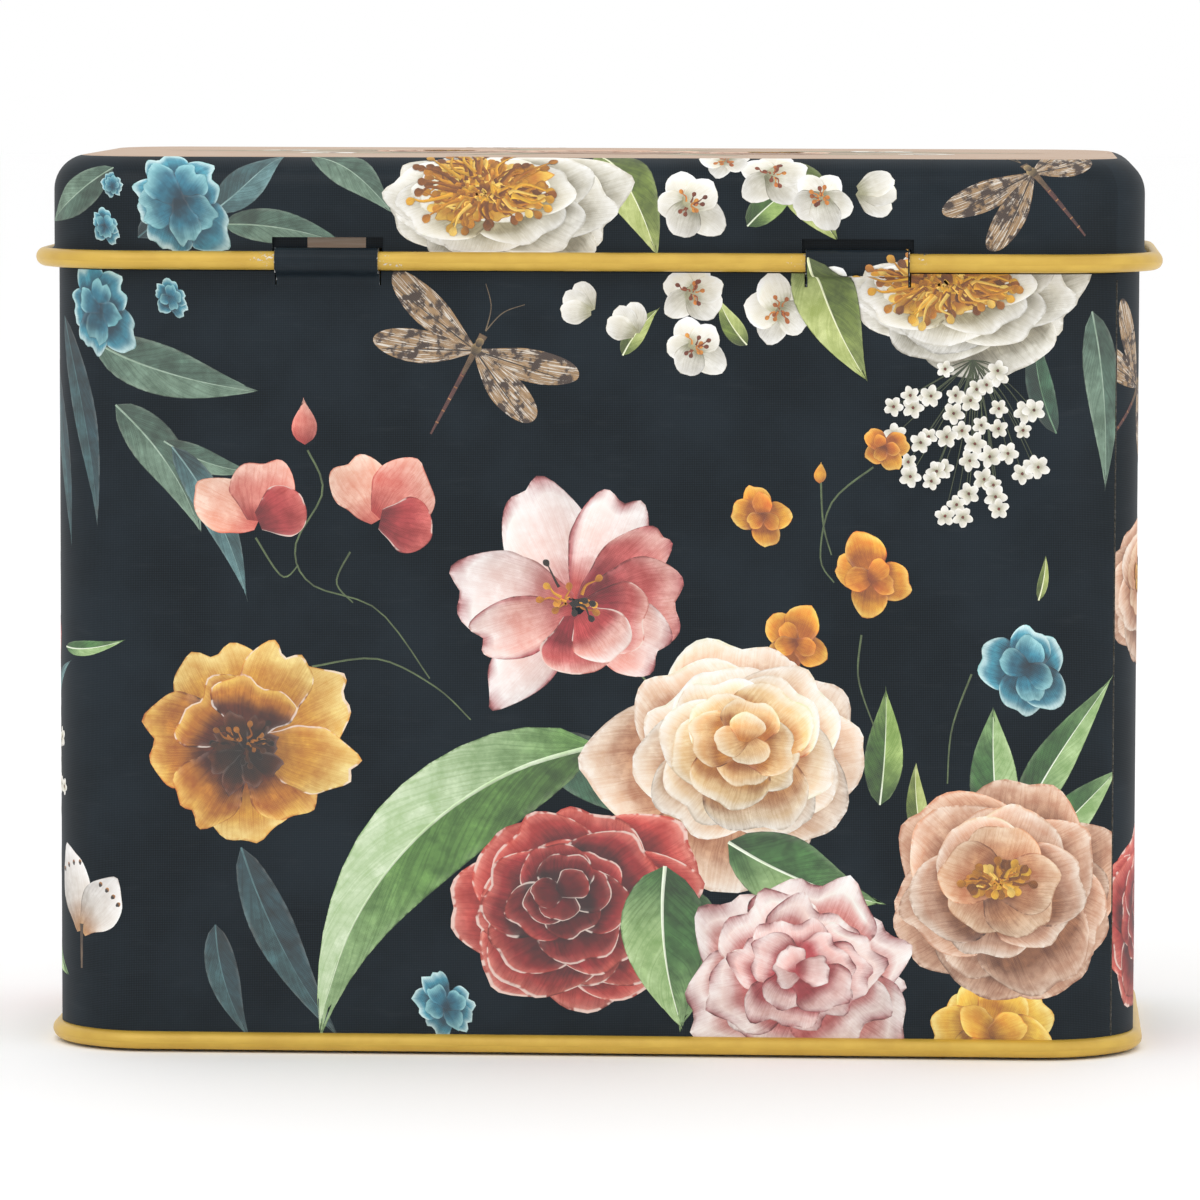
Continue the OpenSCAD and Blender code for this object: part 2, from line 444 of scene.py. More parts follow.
def goldLacquer(name, rolled):
    look = {"pale": ink("#dcb84e"), "deep": ink("#b78f2e"), "worn": ink("#c9c4b8")}
    paint = Paint(name, {"Coat Weight": 0.2, "Coat Roughness": 0.25})
    place = paint.field("sheet")
    s, t, wear = paint.parts(place)
    cloud = paint.noise(place, 0.3, 4.0)
    colour = paint.mix(cloud.ease(0.2, 0.8) * 0.5 + 0.25, look["deep"], look["pale"])
    lines = paint.noise(paint.join(s * 0.15, t * 7.0, 1.0), 3.0, 3.0)
    colour = paint.mix(lines.ease(0.5, 0.8) * 0.12, colour, look["deep"])
    chips = paint.noise(paint.join(s, t * 1.4, 5.0), 2.1, 4.0, 0.7)
    bare = (chips + wear * 0.14).ease(0.73, 0.76)
    colour = paint.mix(bare, colour, look["worn"])
    paint.drive(Base_Color=colour, Metallic=rolled + bare * (1.0 - rolled))
    paint.drive(Roughness=0.36 + cloud * 0.12 + lines * 0.06 - bare * 0.05)
    paint.bump(lines * 0.6 + cloud - bare * 0.8, 0.012, 0.5)
    return paint.material


def bareSteel(name, onSheet=True):
    paint = Paint(name, {"Metallic": 0.9})
    place = paint.field("sheet") if onSheet else paint.node("ShaderNodeTexCoord", {}, {}, 3)
    unit = 1.0 if onSheet else 1 / mm
    s, t = paint.parts(place)[:2]
    shear = paint.noise(paint.join(s * 6.0 * unit, t * 1.5 * unit, 0.0), 3.0, 4.0, 0.7)
    colour = paint.mix(shear.ease(0.35, 0.65), ink("#8f9193"), ink("#d9dad8"))
    paint.drive(Base_Color=colour, Roughness=0.32 + shear * 0.25)
    paint.bump(shear, 0.02, 0.6)
    return paint.material


def pressedBase():
    # the base sheet: gold lacquer over tinplate, with the fine lines of the rolling mill
    paint = Paint("goldBaseSheet", {"Coat Weight": 0.15, "Coat Roughness": 0.3})
    place = paint.field("sheet")
    s, t = paint.parts(place)[:2]
    lines = paint.noise(paint.join(s * 0.08, t * 9.0, 1.0), 2.0, 4.0, 0.6)
    scuffs = paint.noise(place, 0.9, 5.0, 0.65).ease(0.58, 0.72)
    colour = paint.mix(lines.ease(0.35, 0.7), ink("#a97d34"), ink("#cda150"))
    colour = paint.mix(scuffs * 0.35, colour, ink("#8b877c"))
    paint.drive(Base_Color=colour, Metallic=0.75 - scuffs * 0.2,
                Roughness=0.30 + lines * 0.12 + scuffs * 0.12)
    paint.bump(lines + scuffs * 0.5, 0.008, 0.5)
    return paint.material


slate, flowers, pale = slateInk(), flowerInk(), paleInk()
gold, goldInside = goldLacquer("goldBead", 0.25), goldLacquer("goldInside", 0.6)
baseSheet = pressedBase()
steel, foldSteel = bareSteel("cutSheetEdge"), bareSteel("flangeSteel", False)
print("materials made")


# printed shapes
inkStep = 0.0007  # thickness of one layer of ink, in mm
mostShapes = 9000
goldenAngle = 2.39996


class Print:
    # shapes printed one over another on one sheet, each a small grid of points with its inks
    def __init__(self):
        self.shapes, self.boxes = [], np.zeros((mostShapes, 5))
        self.shift, self.mirror = (0.0, 0.0), 1

    def place(self, shift=(0.0, 0.0), mirror=1):
        # where the next shapes go, as a copy of the design moved along the sheet or turned over
        self.shift, self.mirror = shift, mirror

    def add(self, points, inks, detail, rim):
        # one layer above whatever is already printed under it
        points = points * (self.mirror, 1) + self.shift
        low, high = points.reshape(-1, 2).min(0), points.reshape(-1, 2).max(0)
        count = len(self.shapes)
        old = self.boxes[:count]
        under = (old[:, 0] < high[0]) & (old[:, 2] > low[0]) & (old[:, 1] < high[1]) & (old[:, 3] > low[1])
        layer = old[under, 4].max(initial=0) + 1
        self.boxes[count] = (*low, *high, layer)
        self.shapes.append((points, inks, detail, rim, inkStep * (layer + 5)))

    def tables(self):
        # all shapes as one set of points and four-cornered faces
        columns, faces, start = [], [], 0
        for points, inks, detail, rim, depth in self.shapes:
            rows, cols = points.shape[:2]
            height = np.full((rows, cols, 1), depth)
            flat = np.concatenate([points, height, inks, detail, rim[..., None]], -1)
            columns.append(flat.reshape(-1, 11))
            index = np.arange(rows * cols).reshape(rows, cols) + start
            corners = [index[:-1, :-1], index[:-1, 1:], index[1:, 1:], index[1:, :-1]]
            faces.append(np.stack(corners, -1).reshape(-1, 4))
            start += rows * cols
        columns, faces = np.concatenate(columns), np.concatenate(faces)
        a, b, c, d = [columns[faces[:, i], :2] for i in range(4)]
        across, up = c - a, d - b
        turned = across[:, 0] * up[:, 1] - across[:, 1] * up[:, 0] < 0
        faces[turned] = faces[turned][:, ::-1]
        a, b, c, d = [columns[faces[:, i], :2] for i in range(4)]
        first = (b[:, 0] - a[:, 0]) * (c[:, 1] - a[:, 1]) - (b[:, 1] - a[:, 1]) * (c[:, 0] - a[:, 0])
        second = (c[:, 0] - a[:, 0]) * (d[:, 1] - a[:, 1]) - (c[:, 1] - a[:, 1]) * (d[:, 0] - a[:, 0])
        return columns, faces[(first > 0) & (second > 0)]  # folded faces are left out


def cutPieces(columns, faces, window, sLines, tLines, holes):
    # cuts faces along the lines where the sheet bends, and drops what is off the sheet
    mesh = bpy.data.meshes.new("cutting")
    mesh.from_pydata([tuple(c) for c in columns[:, :3]], [], [tuple(int(i) for i in f) for f in faces])
    layers = [("ink", "FLOAT_COLOR", "color", slice(3, 7)),
              ("detail", "FLOAT_VECTOR", "vector", slice(7, 10))]
    layers += [("rim", "FLOAT", "value", slice(10, 11))]
    for key, kind, prop, part in layers:
        values = columns[:, part].astype(np.float32).ravel()
        mesh.attributes.new(key, kind, "POINT").data.foreach_set(prop, values)
    cutter = bmesh.new()
    cutter.from_mesh(mesh)

    def cutAt(axis, value, clear=0):
        normal = (1, 0, 0) if axis == 0 else (0, 1, 0)
        place = tuple(value * n for n in normal)
        geometry = cutter.verts[:] + cutter.edges[:] + cutter.faces[:]
        bmesh.ops.bisect_plane(cutter, geom=geometry, dist=1e-5, plane_co=place, plane_no=normal,
                               clear_outer=clear > 0, clear_inner=clear < 0)

    cutAt(0, window[0], -1)
    cutAt(0, window[1], 1)
    cutAt(1, window[2], -1)
    cutAt(1, window[3], 1)
    low, high = columns[:, :2].min(0), columns[:, :2].max(0)
    for value in sLines:
        if low[0] < value < high[0]:
            cutAt(0, value)
    for value in tLines:
        if low[1] < value < high[1]:
            cutAt(1, value)
    for hole in holes:
        if hole[0] < high[0] and hole[1] > low[0] and hole[2] < high[1] and hole[3] > low[1]:
            for axis, value in ((0, hole[0]), (0, hole[1]), (1, hole[2]), (1, hole[3])):
                cutAt(axis, value)
            inside = []
            for face in cutter.faces:
                middle = face.calc_center_median()
                if hole[0] < middle.x < hole[1] and hole[2] < middle.y < hole[3]:
                    inside.append(face)
            bmesh.ops.delete(cutter, geom=inside, context="FACES")
    cutter.to_mesh(mesh)
    cutter.free()
    count = len(mesh.vertices)
    result = np.zeros((count, 11))
    flat = np.empty(count * 3, np.float32)
    mesh.vertices.foreach_get("co", flat)
    result[:, :3] = flat.reshape(-1, 3)
    for key, kind, prop, part in layers:
        width = part.stop - part.start
        flat = np.empty(count * width, np.float32)
        mesh.attributes[key].data.foreach_get(prop, flat)
        result[:, part] = flat.reshape(-1, width)
    cut = [tuple(p.vertices) for p in mesh.polygons]
    bpy.data.meshes.remove(mesh)
    return result, cut


def layPrint(printed, name, body, sheetMap, line, window, tLines=(), holes=()):
    # lays the printed shapes on a sheet: cut at its bends, then moved onto its surface
    columns, faces = printed.tables()
    low, high = columns[faces][..., :2].min(1), columns[faces][..., :2].max(1)
    seen = (high[:, 0] > window[0]) & (low[:, 0] < window[1])
    seen &= (high[:, 1] > window[2]) & (low[:, 1] < window[3])
    faces, low, high = faces[seen], low[seen], high[seen]
    sLines = line.lines(window[0], window[1]) if line else []
    groups = np.full(len(faces), -1)
    crossing = (low[:, 0] < window[0]) | (high[:, 0] > window[1])
    crossing |= (low[:, 1] < window[2]) | (high[:, 1] > window[3])
    for value in tLines:
        crossing |= (low[:, 1] < value) & (high[:, 1] > value)
    for hole in holes:
        inColumn = (high[:, 0] > hole[0]) & (low[:, 0] < hole[1])
        crossing |= inColumn & (high[:, 1] > hole[2]) & (low[:, 1] < hole[3])
    for value in sLines:
        crossing |= (low[:, 0] < value) & (high[:, 0] > value)
    block = 12.0
    groups[crossing] = ((low[crossing, 0] - window[0]) // block).astype(int) + 1
    parts = [(columns, [tuple(f) for f in faces[groups < 0]])]
    for group in sorted(set(groups[groups >= 0])):
        chosen = faces[groups == group]
        used, again = np.unique(chosen, return_inverse=True)
        parts.append(cutPieces(columns[used], again.reshape(-1, 4), window, sLines, tLines, holes))
    allColumns, allFaces, start = [], [], 0
    for cols, cut in parts:
        allColumns.append(cols)
        allFaces += [tuple(int(i) + start for i in f) for f in cut]
        start += len(cols)
    columns = np.concatenate(allColumns)
    used = np.unique(np.fromiter((i for f in allFaces for i in f), int))
    renumber = np.zeros(len(columns), int)
    renumber[used] = np.arange(len(used))
    columns = columns[used]
    allFaces = [tuple(renumber[list(f)]) for f in allFaces]
    places, normals = sheetMap(columns[:, 0], columns[:, 1], columns[:, 2])
    fields = {
        "ink": ("FLOAT_COLOR", columns[:, 3:7]),
        "detail": ("FLOAT_VECTOR", columns[:, 7:10]),
        "sheet": ("FLOAT_VECTOR", np.stack([columns[:, 0], columns[:, 1], columns[:, 10]], -1)),
    }
    newObject(name, places, allFaces, body, [flowers], normals, fields)
    print(name, len(allFaces), "faces")


shapeKinds = {
    "petal": {"base": 0.30, "peak": 0.85, "cap": 0.50, "notch": 0.04, "ruffle": 0.030, "waves": 2.4,
              "side": 0.16, "veins": 13.0},
    "frilled": {"base": 0.26, "peak": 0.95, "cap": 0.40, "notch": 0.05, "ruffle": 0.055, "waves": 3.4,
                "side": 0.10, "veins": 18.0},
    "pointed": {"base": 0.35, "peak": 0.45, "cap": 0.10, "notch": 0.0, "ruffle": 0.015, "waves": 2.0,
                "side": 0.22, "veins": 9.0},
    "leaf": {"base": 0.06, "peak": 0.42, "cap": 0.0, "notch": 0.0, "ruffle": 0.018, "waves": 3.0,
             "side": 0.0, "veins": 0.0},
    "wing": {"base": 0.10, "peak": 0.80, "cap": 0.45, "notch": 0.0, "ruffle": 0.008, "waves": 2.0,
             "side": 0.0, "veins": 16.0},
    "round": {"base": 0.35, "peak": 0.80, "cap": 0.55, "notch": 0.03, "ruffle": 0.02, "waves": 2.0,
              "side": 0.12, "veins": 7.0},
}


def petal(printed, root, angle, long, wide, tones, kind="petal", seed=0, view=None, half=0, mottle=0.0,
          bend=0.0, crease=0.0, edgeTone=None, lit=False, **changes):
    # one petal, leaf half or wing, growing from its root at an angle from the sheet's length
    shape = dict(shapeKinds[kind], **changes)
    random = np.random.default_rng(int(seed) % 9973 + 11)
    size = max(long, wide)
    rows, cols = (14, 18) if size > 3.5 else (9, 10) if size > 1.2 else (4, 6)
    edge = {0: (-1, 1), -1: (-1, 0), 1: (0, 1)}[half]
    v = np.linspace(0, 1, rows + 1)[:, None]
    u = np.sin(math.pi / 2 * np.linspace(edge[0], edge[1], cols + 1))[None, :]
    if kind in ("leaf", "pointed"):
        width = np.sin(math.pi * v ** 0.75) ** 0.85 * (1 - 0.35 * v ** 3) + 0.02
    else:
        grown = np.sin(math.pi / 2 * np.clip(v / shape["peak"], 0, 1)) ** 0.9
        width = shape["base"] + (1 - shape["base"]) * grown
    width = width * wide / 2
    phase = random.uniform(0, 2 * math.pi, 5)
    waves = shape["waves"]
    ripple = np.sin(waves * u + phase[0]) + 0.6 * np.sin(waves * 2.3 * u + phase[1])
    sway = np.sin(waves * 2.2 * v + phase[2]) + 0.5 * np.sin(waves * 4.7 * v + phase[3])
    top = 1 - shape["cap"] + shape["cap"] * np.sqrt(1 - (0.985 * u) ** 2)
    top = top * (1 + shape["ruffle"] * ripple * 1.3) - shape["notch"] * np.exp(-(u / 0.22) ** 2)
    y = long * v * (1 + (top - 1) * v ** 0.6)
    x = u * width
    x = x + wide * shape["ruffle"] * sway * np.sign(u) * np.abs(u) ** 3 * np.sin(math.pi * v) * (1 - v)
    bend = bend if abs(bend) > 1e-4 else 1e-4
    turn = bend * y / long
    side = long / bend * (1 - np.cos(turn)) + x * np.cos(turn)
    ahead = long / bend * np.sin(turn) - x * np.sin(turn)
    c, s = math.cos(angle), math.sin(angle)
    points = np.stack([root[0] + ahead * c + side * s, root[1] + ahead * s - side * c], -1)
    if view:
        centre, squash, lean = view
        along = np.array([math.cos(lean), math.sin(lean)])
        reach = (points - centre) @ along
        points = points - (1 - squash) * reach[..., None] * along
    low, middle, high = [np.array(t[:3]) for t in tones]
    v3 = v[..., None] + 0 * u[..., None]
    start, middleAt = crease * 0.92, crease + (1 - crease) * 0.5
    first = np.clip((v3 - start) / (middleAt - start), 0, 1)
    second = np.clip((v3 - middleAt) / (1 - middleAt), 0, 1)
    first, second = first * first * (3 - 2 * first), second * second * (3 - 2 * second)
    colour = low + (middle - low) * first + (high - middle) * second
    colour = colour * (1 + shape["side"] * (u[..., None] * random.choice([-1, 1]) - 0.2))
    flat = 0 * u + 0 * v
    rim = np.minimum(1 - np.abs(u) + flat, (1 - v) * 1.4 + flat)
    if edgeTone:
        share = np.clip(1.3 - rim / 0.13, 0, 1) * (0.55 + 0.45 * np.sin(7 * u + phase[4]))
        colour = colour + (np.array(edgeTone[:3]) - colour) * share[..., None]
    plain = np.full(colour.shape[:2] + (1,), 1.0 - mottle)
    inks = np.concatenate([np.clip(colour, 0.002, 0.95), plain], -1)
    veins = (v * 9.0 - np.abs(u) * 2.6) * 2.0 if kind == "leaf" else u * shape["veins"] + flat
    detail = np.stack([veins, v + flat, flat + (seed % 97) / 9.7 + 20 * lit], -1)
    printed.add(points, inks, detail, rim)


def ribbon(printed, stops, wide, tone, seed=0, taper=0.6):
    # a stem, rib or stroke along a smooth curve through its stops
    stops = np.array(stops, float)
    count = max(6, int(4 * len(stops)))
    k = np.linspace(0, len(stops) - 1, count)
    i = np.clip(k.astype(int), 0, len(stops) - 2)
    f = (k - i)[:, None]
    before, after = stops[np.clip(i - 1, 0, None)], stops[np.clip(i + 2, None, len(stops) - 1)]
    a, b = stops[i], stops[i + 1]
    path = 0.5 * (2 * a + (b - before) * f + (2 * before - 5 * a + 4 * b - after) * f ** 2
                  + (3 * a - before - 3 * b + after) * f ** 3)
    ahead = np.gradient(path, axis=0)
    ahead /= np.linalg.norm(ahead, axis=1, keepdims=True) + 1e-9
    side = np.stack([ahead[:, 1], -ahead[:, 0]], -1)
    width = wide / 2 * (1 - taper * np.linspace(0, 1, count))[:, None, None]
    u = np.array([-1.0, 0.0, 1.0])
    points = path[:, None, :] + side[:, None, :] * width * u[None, :, None]
    inks = np.tile(np.array(tone), (count, 3, 1)) * 1.0
    inks[..., :3] *= (1 + 0.25 * u)[None, :, None]
    inks[..., 3] = 1.0
    flat = np.zeros((count, 3))
    detail = np.stack([flat + u, flat + np.linspace(0, 6, count)[:, None], flat + seed % 7], -1)
    printed.add(points, inks, detail, flat + 0.5)


def leaf(printed, root, tip, wide, tones, bend=0.3, seed=0):
    # two halves of different tone with a pale midrib
    root, tip = np.array(root, float), np.array(tip, float)
    reach = tip - root
    chord = float(np.hypot(*reach))
    long = chord * (bend / 2) / math.sin(bend / 2) if abs(bend) > 1e-3 else chord
    angle = math.atan2(reach[1], reach[0]) + bend / 2
    dark, light, rib = [ink(t) for t in tones]
    deep = tuple(0.55 * c for c in dark[:3]) + (1.0,)
    soft = tuple(0.6 * a + 0.4 * b for a, b in zip(dark, light))
    petal(printed, root, angle, long, wide, (deep, dark, soft), "leaf", seed, half=-1, bend=bend)
    petal(printed, root, angle, long, wide * 0.94, (dark, light, light), "leaf", seed, half=1, bend=bend)
    turns = np.linspace(0.0, 0.94, 6) * bend
    path = [(long / bend * math.sin(k), long / bend * (1 - math.cos(k))) for k in turns]
    c, s = math.cos(angle), math.sin(angle)
    stops = [(root[0] + a * c + b * s, root[1] + a * s - b * c) for a, b in path]
    ribbon(printed, stops, max(0.12, wide * 0.045), rib, seed, 0.85)


def bloom(printed, centre, size, rings, palette, squash=0.85, lean=math.pi / 2, drift=(0.0, 0.0), seed=0,
          kind="petal", edgeTone=None, lit=False):
    # rings of petals from the outside in; each ring is a little nearer, so its centre drifts
    random = np.random.default_rng(seed)
    centre = np.array(centre, float)
    tones = [tuple(ink(c) for c in row) for row in palette]
    for k, (count, reach, wide) in enumerate(rings):
        share = k / max(1, len(rings) - 1)
        crease = rings[k + 1][1] / reach - 0.06 if k + 1 < len(rings) else 0.1
        middle = centre + np.array(drift) * size * share
        start = random.uniform(0, 2 * math.pi)
        for i in random.permutation(count):
            angle = start + 2 * math.pi * (i + random.uniform(-0.22, 0.22)) / count
            long = size * reach * random.uniform(0.84, 1.10)
            root = middle - 0.10 * long * np.array([math.cos(angle), math.sin(angle)])
            low, mid, high = tones[min(k, len(tones) - 1)]
            shade = 1 + 0.14 * math.sin(angle) + random.uniform(-0.07, 0.07)
            row = [tuple(c * shade for c in tone[:3]) + (1.0,) for tone in (low, mid, high)]
            petal(printed, root, angle, long, long * wide, row, kind, seed * 31 + k * 7 + i,
                  (middle, squash, lean), bend=random.uniform(-0.35, 0.35), crease=crease,
                  edgeTone=edgeTone, lit=lit)


def stamens(printed, centre, size, count, colours, squash=0.6, seed=0, wide=0.22):
    random = np.random.default_rng(seed + 500)
    for i in range(count):
        angle = random.uniform(0, 2 * math.pi)
        reach = size * (0.25 + 0.75 * i / count) * random.uniform(0.8, 1.1)
        foot = centre + np.array([math.cos(angle) * reach * 0.45, math.sin(angle) * reach * 0.35 * squash])
        head = centre + np.array([math.cos(angle) * reach, math.sin(angle) * reach * squash + size * 0.08])
        tone = ink(colours[random.integers(len(colours))], random.uniform(0.8, 1.1))
        sway = random.uniform(-0.12, 0.12, 2) * size
        ribbon(printed, [foot, (foot + head) / 2 + sway, head], wide, tone, i, 0.65)
        dot = tuple(0.8 * c for c in tone[:3]) + (1.0,)
        petal(printed, head, angle, wide * 2.4, wide * 2.0, (dot, tone, tone), "round", i)


palettes = {
    "cream": [("#c08a66", "#eed2b8", "#f6eade"), ("#c48f66", "#f0d8be", "#f8f0e6"),
              ("#c48a54", "#f1d9b8", "#f9f1e6"),
              ("#bf8038", "#efcf9c", "#f8ecd8"), ("#b8742c", "#ecc188", "#f8e4c4")],
    "wine": [("#7a1a1c", "#c04038", "#e08a78"), ("#641218", "#b03430", "#d6705f"),
             ("#520e14", "#9c2628", "#c85a4c"),
             ("#420a10", "#861c20", "#b6443c"), ("#33060c", "#6e1218", "#98302c")],
    "blush": [("#8a5a3e", "#c99a7c", "#e0c0a8"), ("#96603f", "#d3a78a", "#e8cdb8"),
              ("#9d6440", "#d9b095", "#efdccb"), ("#8d4f2a", "#c88d62", "#e6c4a4")],
    "shell": [("#a87c64", "#cba48a", "#dcbfa8"), ("#a87c64", "#cfab92", "#dfc6b0"),
              ("#a5765a", "#d0a98c", "#e0c8b2")],
    "white": [("#8f8873", "#d8d4c6", "#efece4"), ("#99917a", "#e0dccf", "#f4f2ec"),
              ("#a59a78", "#e6e1d2", "#f6f4ee"), ("#b59d5e", "#e9e0c4", "#f5f1e4")],
    "coral": [("#c2504a", "#f6ded7", "#fdf6f3"), ("#b0383a", "#ecb6aa", "#f9e8e2"),
              ("#8e1c28", "#cc5f5c", "#eab6ab")],
    "ochre": [("#7a3c10", "#cf932f", "#efcf7c"), ("#56200c", "#b9721f", "#e6b550")],
    "frill": [("#c8837c", "#f6ebe6", "#fcf7f4"), ("#bd6360", "#f2e0da", "#fbf2ee"),
              ("#a8383f", "#eac6c0", "#f7e6e2")],
    "salmon": [("#a8322e", "#e0897a", "#eeb6a4"), ("#7e1720", "#b23a3c", "#cc5f58")],
    "amber": [("#a85c12", "#e09a26", "#f2c04e"), ("#8e4410", "#cf7d1c", "#eaa838")],
    "lemon": [("#b8801c", "#ecc044", "#f7dd80"), ("#a0681a", "#dca530", "#f2ca5c")],
    "sky": [("#0e4a5e", "#3a8da2", "#c6e2e2"), ("#0b3c50", "#26738a", "#86bfc6")],
    "gold": [("#8a5210", "#cf8f22", "#e8bc4c"), ("#7a4410", "#b9781a", "#dca63a")],
    "snow": [("#a3a07f", "#e3dfd2", "#f6f4ee")],
}
leafTones = {
    "arch": ("#5d8a3e", "#c6dbb2", "#cfe0bd"),
    "mist": ("#a39a80", "#b5ab90", "#d8ccb4"),
    "sage": ("#4d6a5a", "#6f8a76", "#9db3a0"),
    "teal": ("#1f3f47", "#34585c", "#4f7377"),
    "green": ("#3f6424", "#9db966", "#e3ebd2"),
    "lime": ("#6a7d30", "#bcc77c", "#e9ecc8"),
    "fresh": ("#3f6e35", "#a4c285", "#e8f0dc"),
    "blueGreen": ("#3c5f62", "#5d8486", "#86a6a4"),
    "forest": ("#24463a", "#3f6a4e", "#6f9274"),
}


def blossom(printed, at, size, seed):
    bloom(printed, at, size, [(5, 1.0, 0.86)], palettes["snow"], 0.88, seed % 5, seed=seed, kind="round")
    heart = ("#b5651c", "#d98a2c", "#8a3f1a")
    stamens(printed, np.array(at, float), size * 0.34, 10, heart, 0.9, seed, 0.16)


def sprayOfTiny(printed, at, size, count, seed):
    # an umbel of tiny five-petalled flowers on fine stalks
    random = np.random.default_rng(seed)
    at = np.array(at, float)
    stem = at + np.array([0.3, size * 1.05])
    spots = []
    for i in range(count):
        reach, angle = size * math.sqrt((i + 0.5) / count), goldenAngle * i + random.uniform(-0.3, 0.3)
        spot = at + reach * np.array([math.cos(angle), 1.05 * math.sin(angle)])
        spots.append(spot + random.uniform(-0.3, 0.3, 2))
    for i, spot in enumerate(spots):
        ribbon(printed, [stem, (stem + spot) / 2 + (0.3, 0.2), spot], 0.07, ink("#3e4a2c"), i, 0.2)
    for i, spot in enumerate(spots):
        big = random.uniform(0.66, 0.92)
        snow = [ink(c) for c in palettes["snow"][0]]
        for k in range(5):
            turn = 2 * math.pi * (k + 0.3 * i) / 5
            petal(printed, spot, turn, big, big * 0.72, snow, "round", i * 5 + k)
        petal(printed, spot - (0.1, 0.0), 0.0, 0.22, 0.24, (ink("#6b2418"),) * 3, "round", i)


def insect(printed, at, size, turn, seed):
    # a long-bodied fly seen from above, heading along turn
    at = np.array(at, float)
    brown = tuple(ink(c) for c in ("#3c2c20", "#6b543f", "#8b745c"))
    wings = ((80, 1.02, 0.31), (-80, 0.98, 0.30), (117, 0.94, 0.30), (-117, 0.84, 0.31))
    for k, (swept, long, wide) in enumerate(wings):
        angle = turn + math.radians(swept)
        petal(printed, at, angle, size * long, size * wide, brown, "wing", seed + k, mottle=1.0,
              bend=math.copysign(0.2, swept))
        ribbon(printed, [at, at + 0.9 * long * size * np.array([math.cos(angle), math.sin(angle)])], 0.12,
               ink("#3a2b1f"), seed + k, 0.7)
    ahead = np.array([math.cos(turn), math.sin(turn)])
    side = np.array([-ahead[1], ahead[0]])
    for reach, wide, tone in ((-0.86, 0.46, "#5a2f28"), (-0.24, 0.62, "#6b5236")):
        stops = [at + ahead * 0.16 * size, at + ahead * reach * size * 0.5, at + ahead * reach * size]
        ribbon(printed, stops, wide, ink(tone), seed, 0.7)
    for k in range(5):
        spot = at - ahead * size * (0.26 + 0.12 * k)
        ribbon(printed, [spot - side * 0.12, spot + side * 0.12], 0.09, ink("#a3703f"), k, 0.0)
    thorax = [ink(c) for c in ("#3a2a1c", "#7d6847", "#b39a68")]
    for reach, long, wide in ((0.06, 0.9, 0.8), (0.14, 0.7, 0.6)):
        petal(printed, at - ahead * size * (0.1 - reach), turn, long, wide, thorax, "round", seed)
    for sign in (-1, 1):
        middle = at + ahead * 0.42 * size + side * sign * 0.06 * size
        tip = at + ahead * 0.58 * size + side * sign * 0.2 * size
        ribbon(printed, [at + ahead * 0.2 * size, middle, tip], 0.10, ink("#6b5a42"), seed, 0.5)


def butterfly(printed, at, size, turn, seed):
    pale = tuple(ink(c) for c in ("#b98a5a", "#e3ddd6", "#f2efec"))
    dark = [ink(c) for c in ("#2a2624", "#3b2f28", "#c98a4a")]
    for swept, long, wide in ((0.55, 1.0, 0.62), (-0.5, 0.8, 0.60)):
        petal(printed, at, turn + swept, size * long, size * wide, pale, "petal", seed, ruffle=0.05,
              veins=9.0)
        for k in range(4):
            reach = turn + swept + (k - 1.5) * 0.17
            spot = np.array(at) + size * long * 0.78 * np.array([math.cos(reach), math.sin(reach)])
            petal(printed, spot, reach, 0.42, 0.34, dark, "round", seed + k)
    stops = [np.array(at) + (0, 0.5), at, np.array(at) - (0, size * 0.45)]
    ribbon(printed, stops, 0.5, ink("#5d4a38"), seed, 0.6)


def sweetPea(printed, at, size, seed, turn=0.0):
    light, dark = [tuple(ink(c) for c in row) for row in palettes["salmon"]]
    pale = tuple(ink(c) for c in ("#d97464", "#eeb39c", "#f3cbb6"))
    petal(printed, at, turn + 2.5, size, size * 0.82, pale, "round", seed, ruffle=0.05)
    petal(printed, at, turn + 1.25, size * 0.95, size * 0.95, light, "round", seed + 1, ruffle=0.05)
    petal(printed, at, turn + 0.2, size * 0.76, size * 0.78, dark, "round", seed + 2, ruffle=0.03, lit=True)


def smallFlower(printed, at, size, seed, palette="amber", count=4):
    bloom(printed, at, size, [(count, 1.0, 0.82), (3, 0.62, 0.8)], palettes[palette], 0.9, 0.6, seed=seed)


print("print shapes ready")


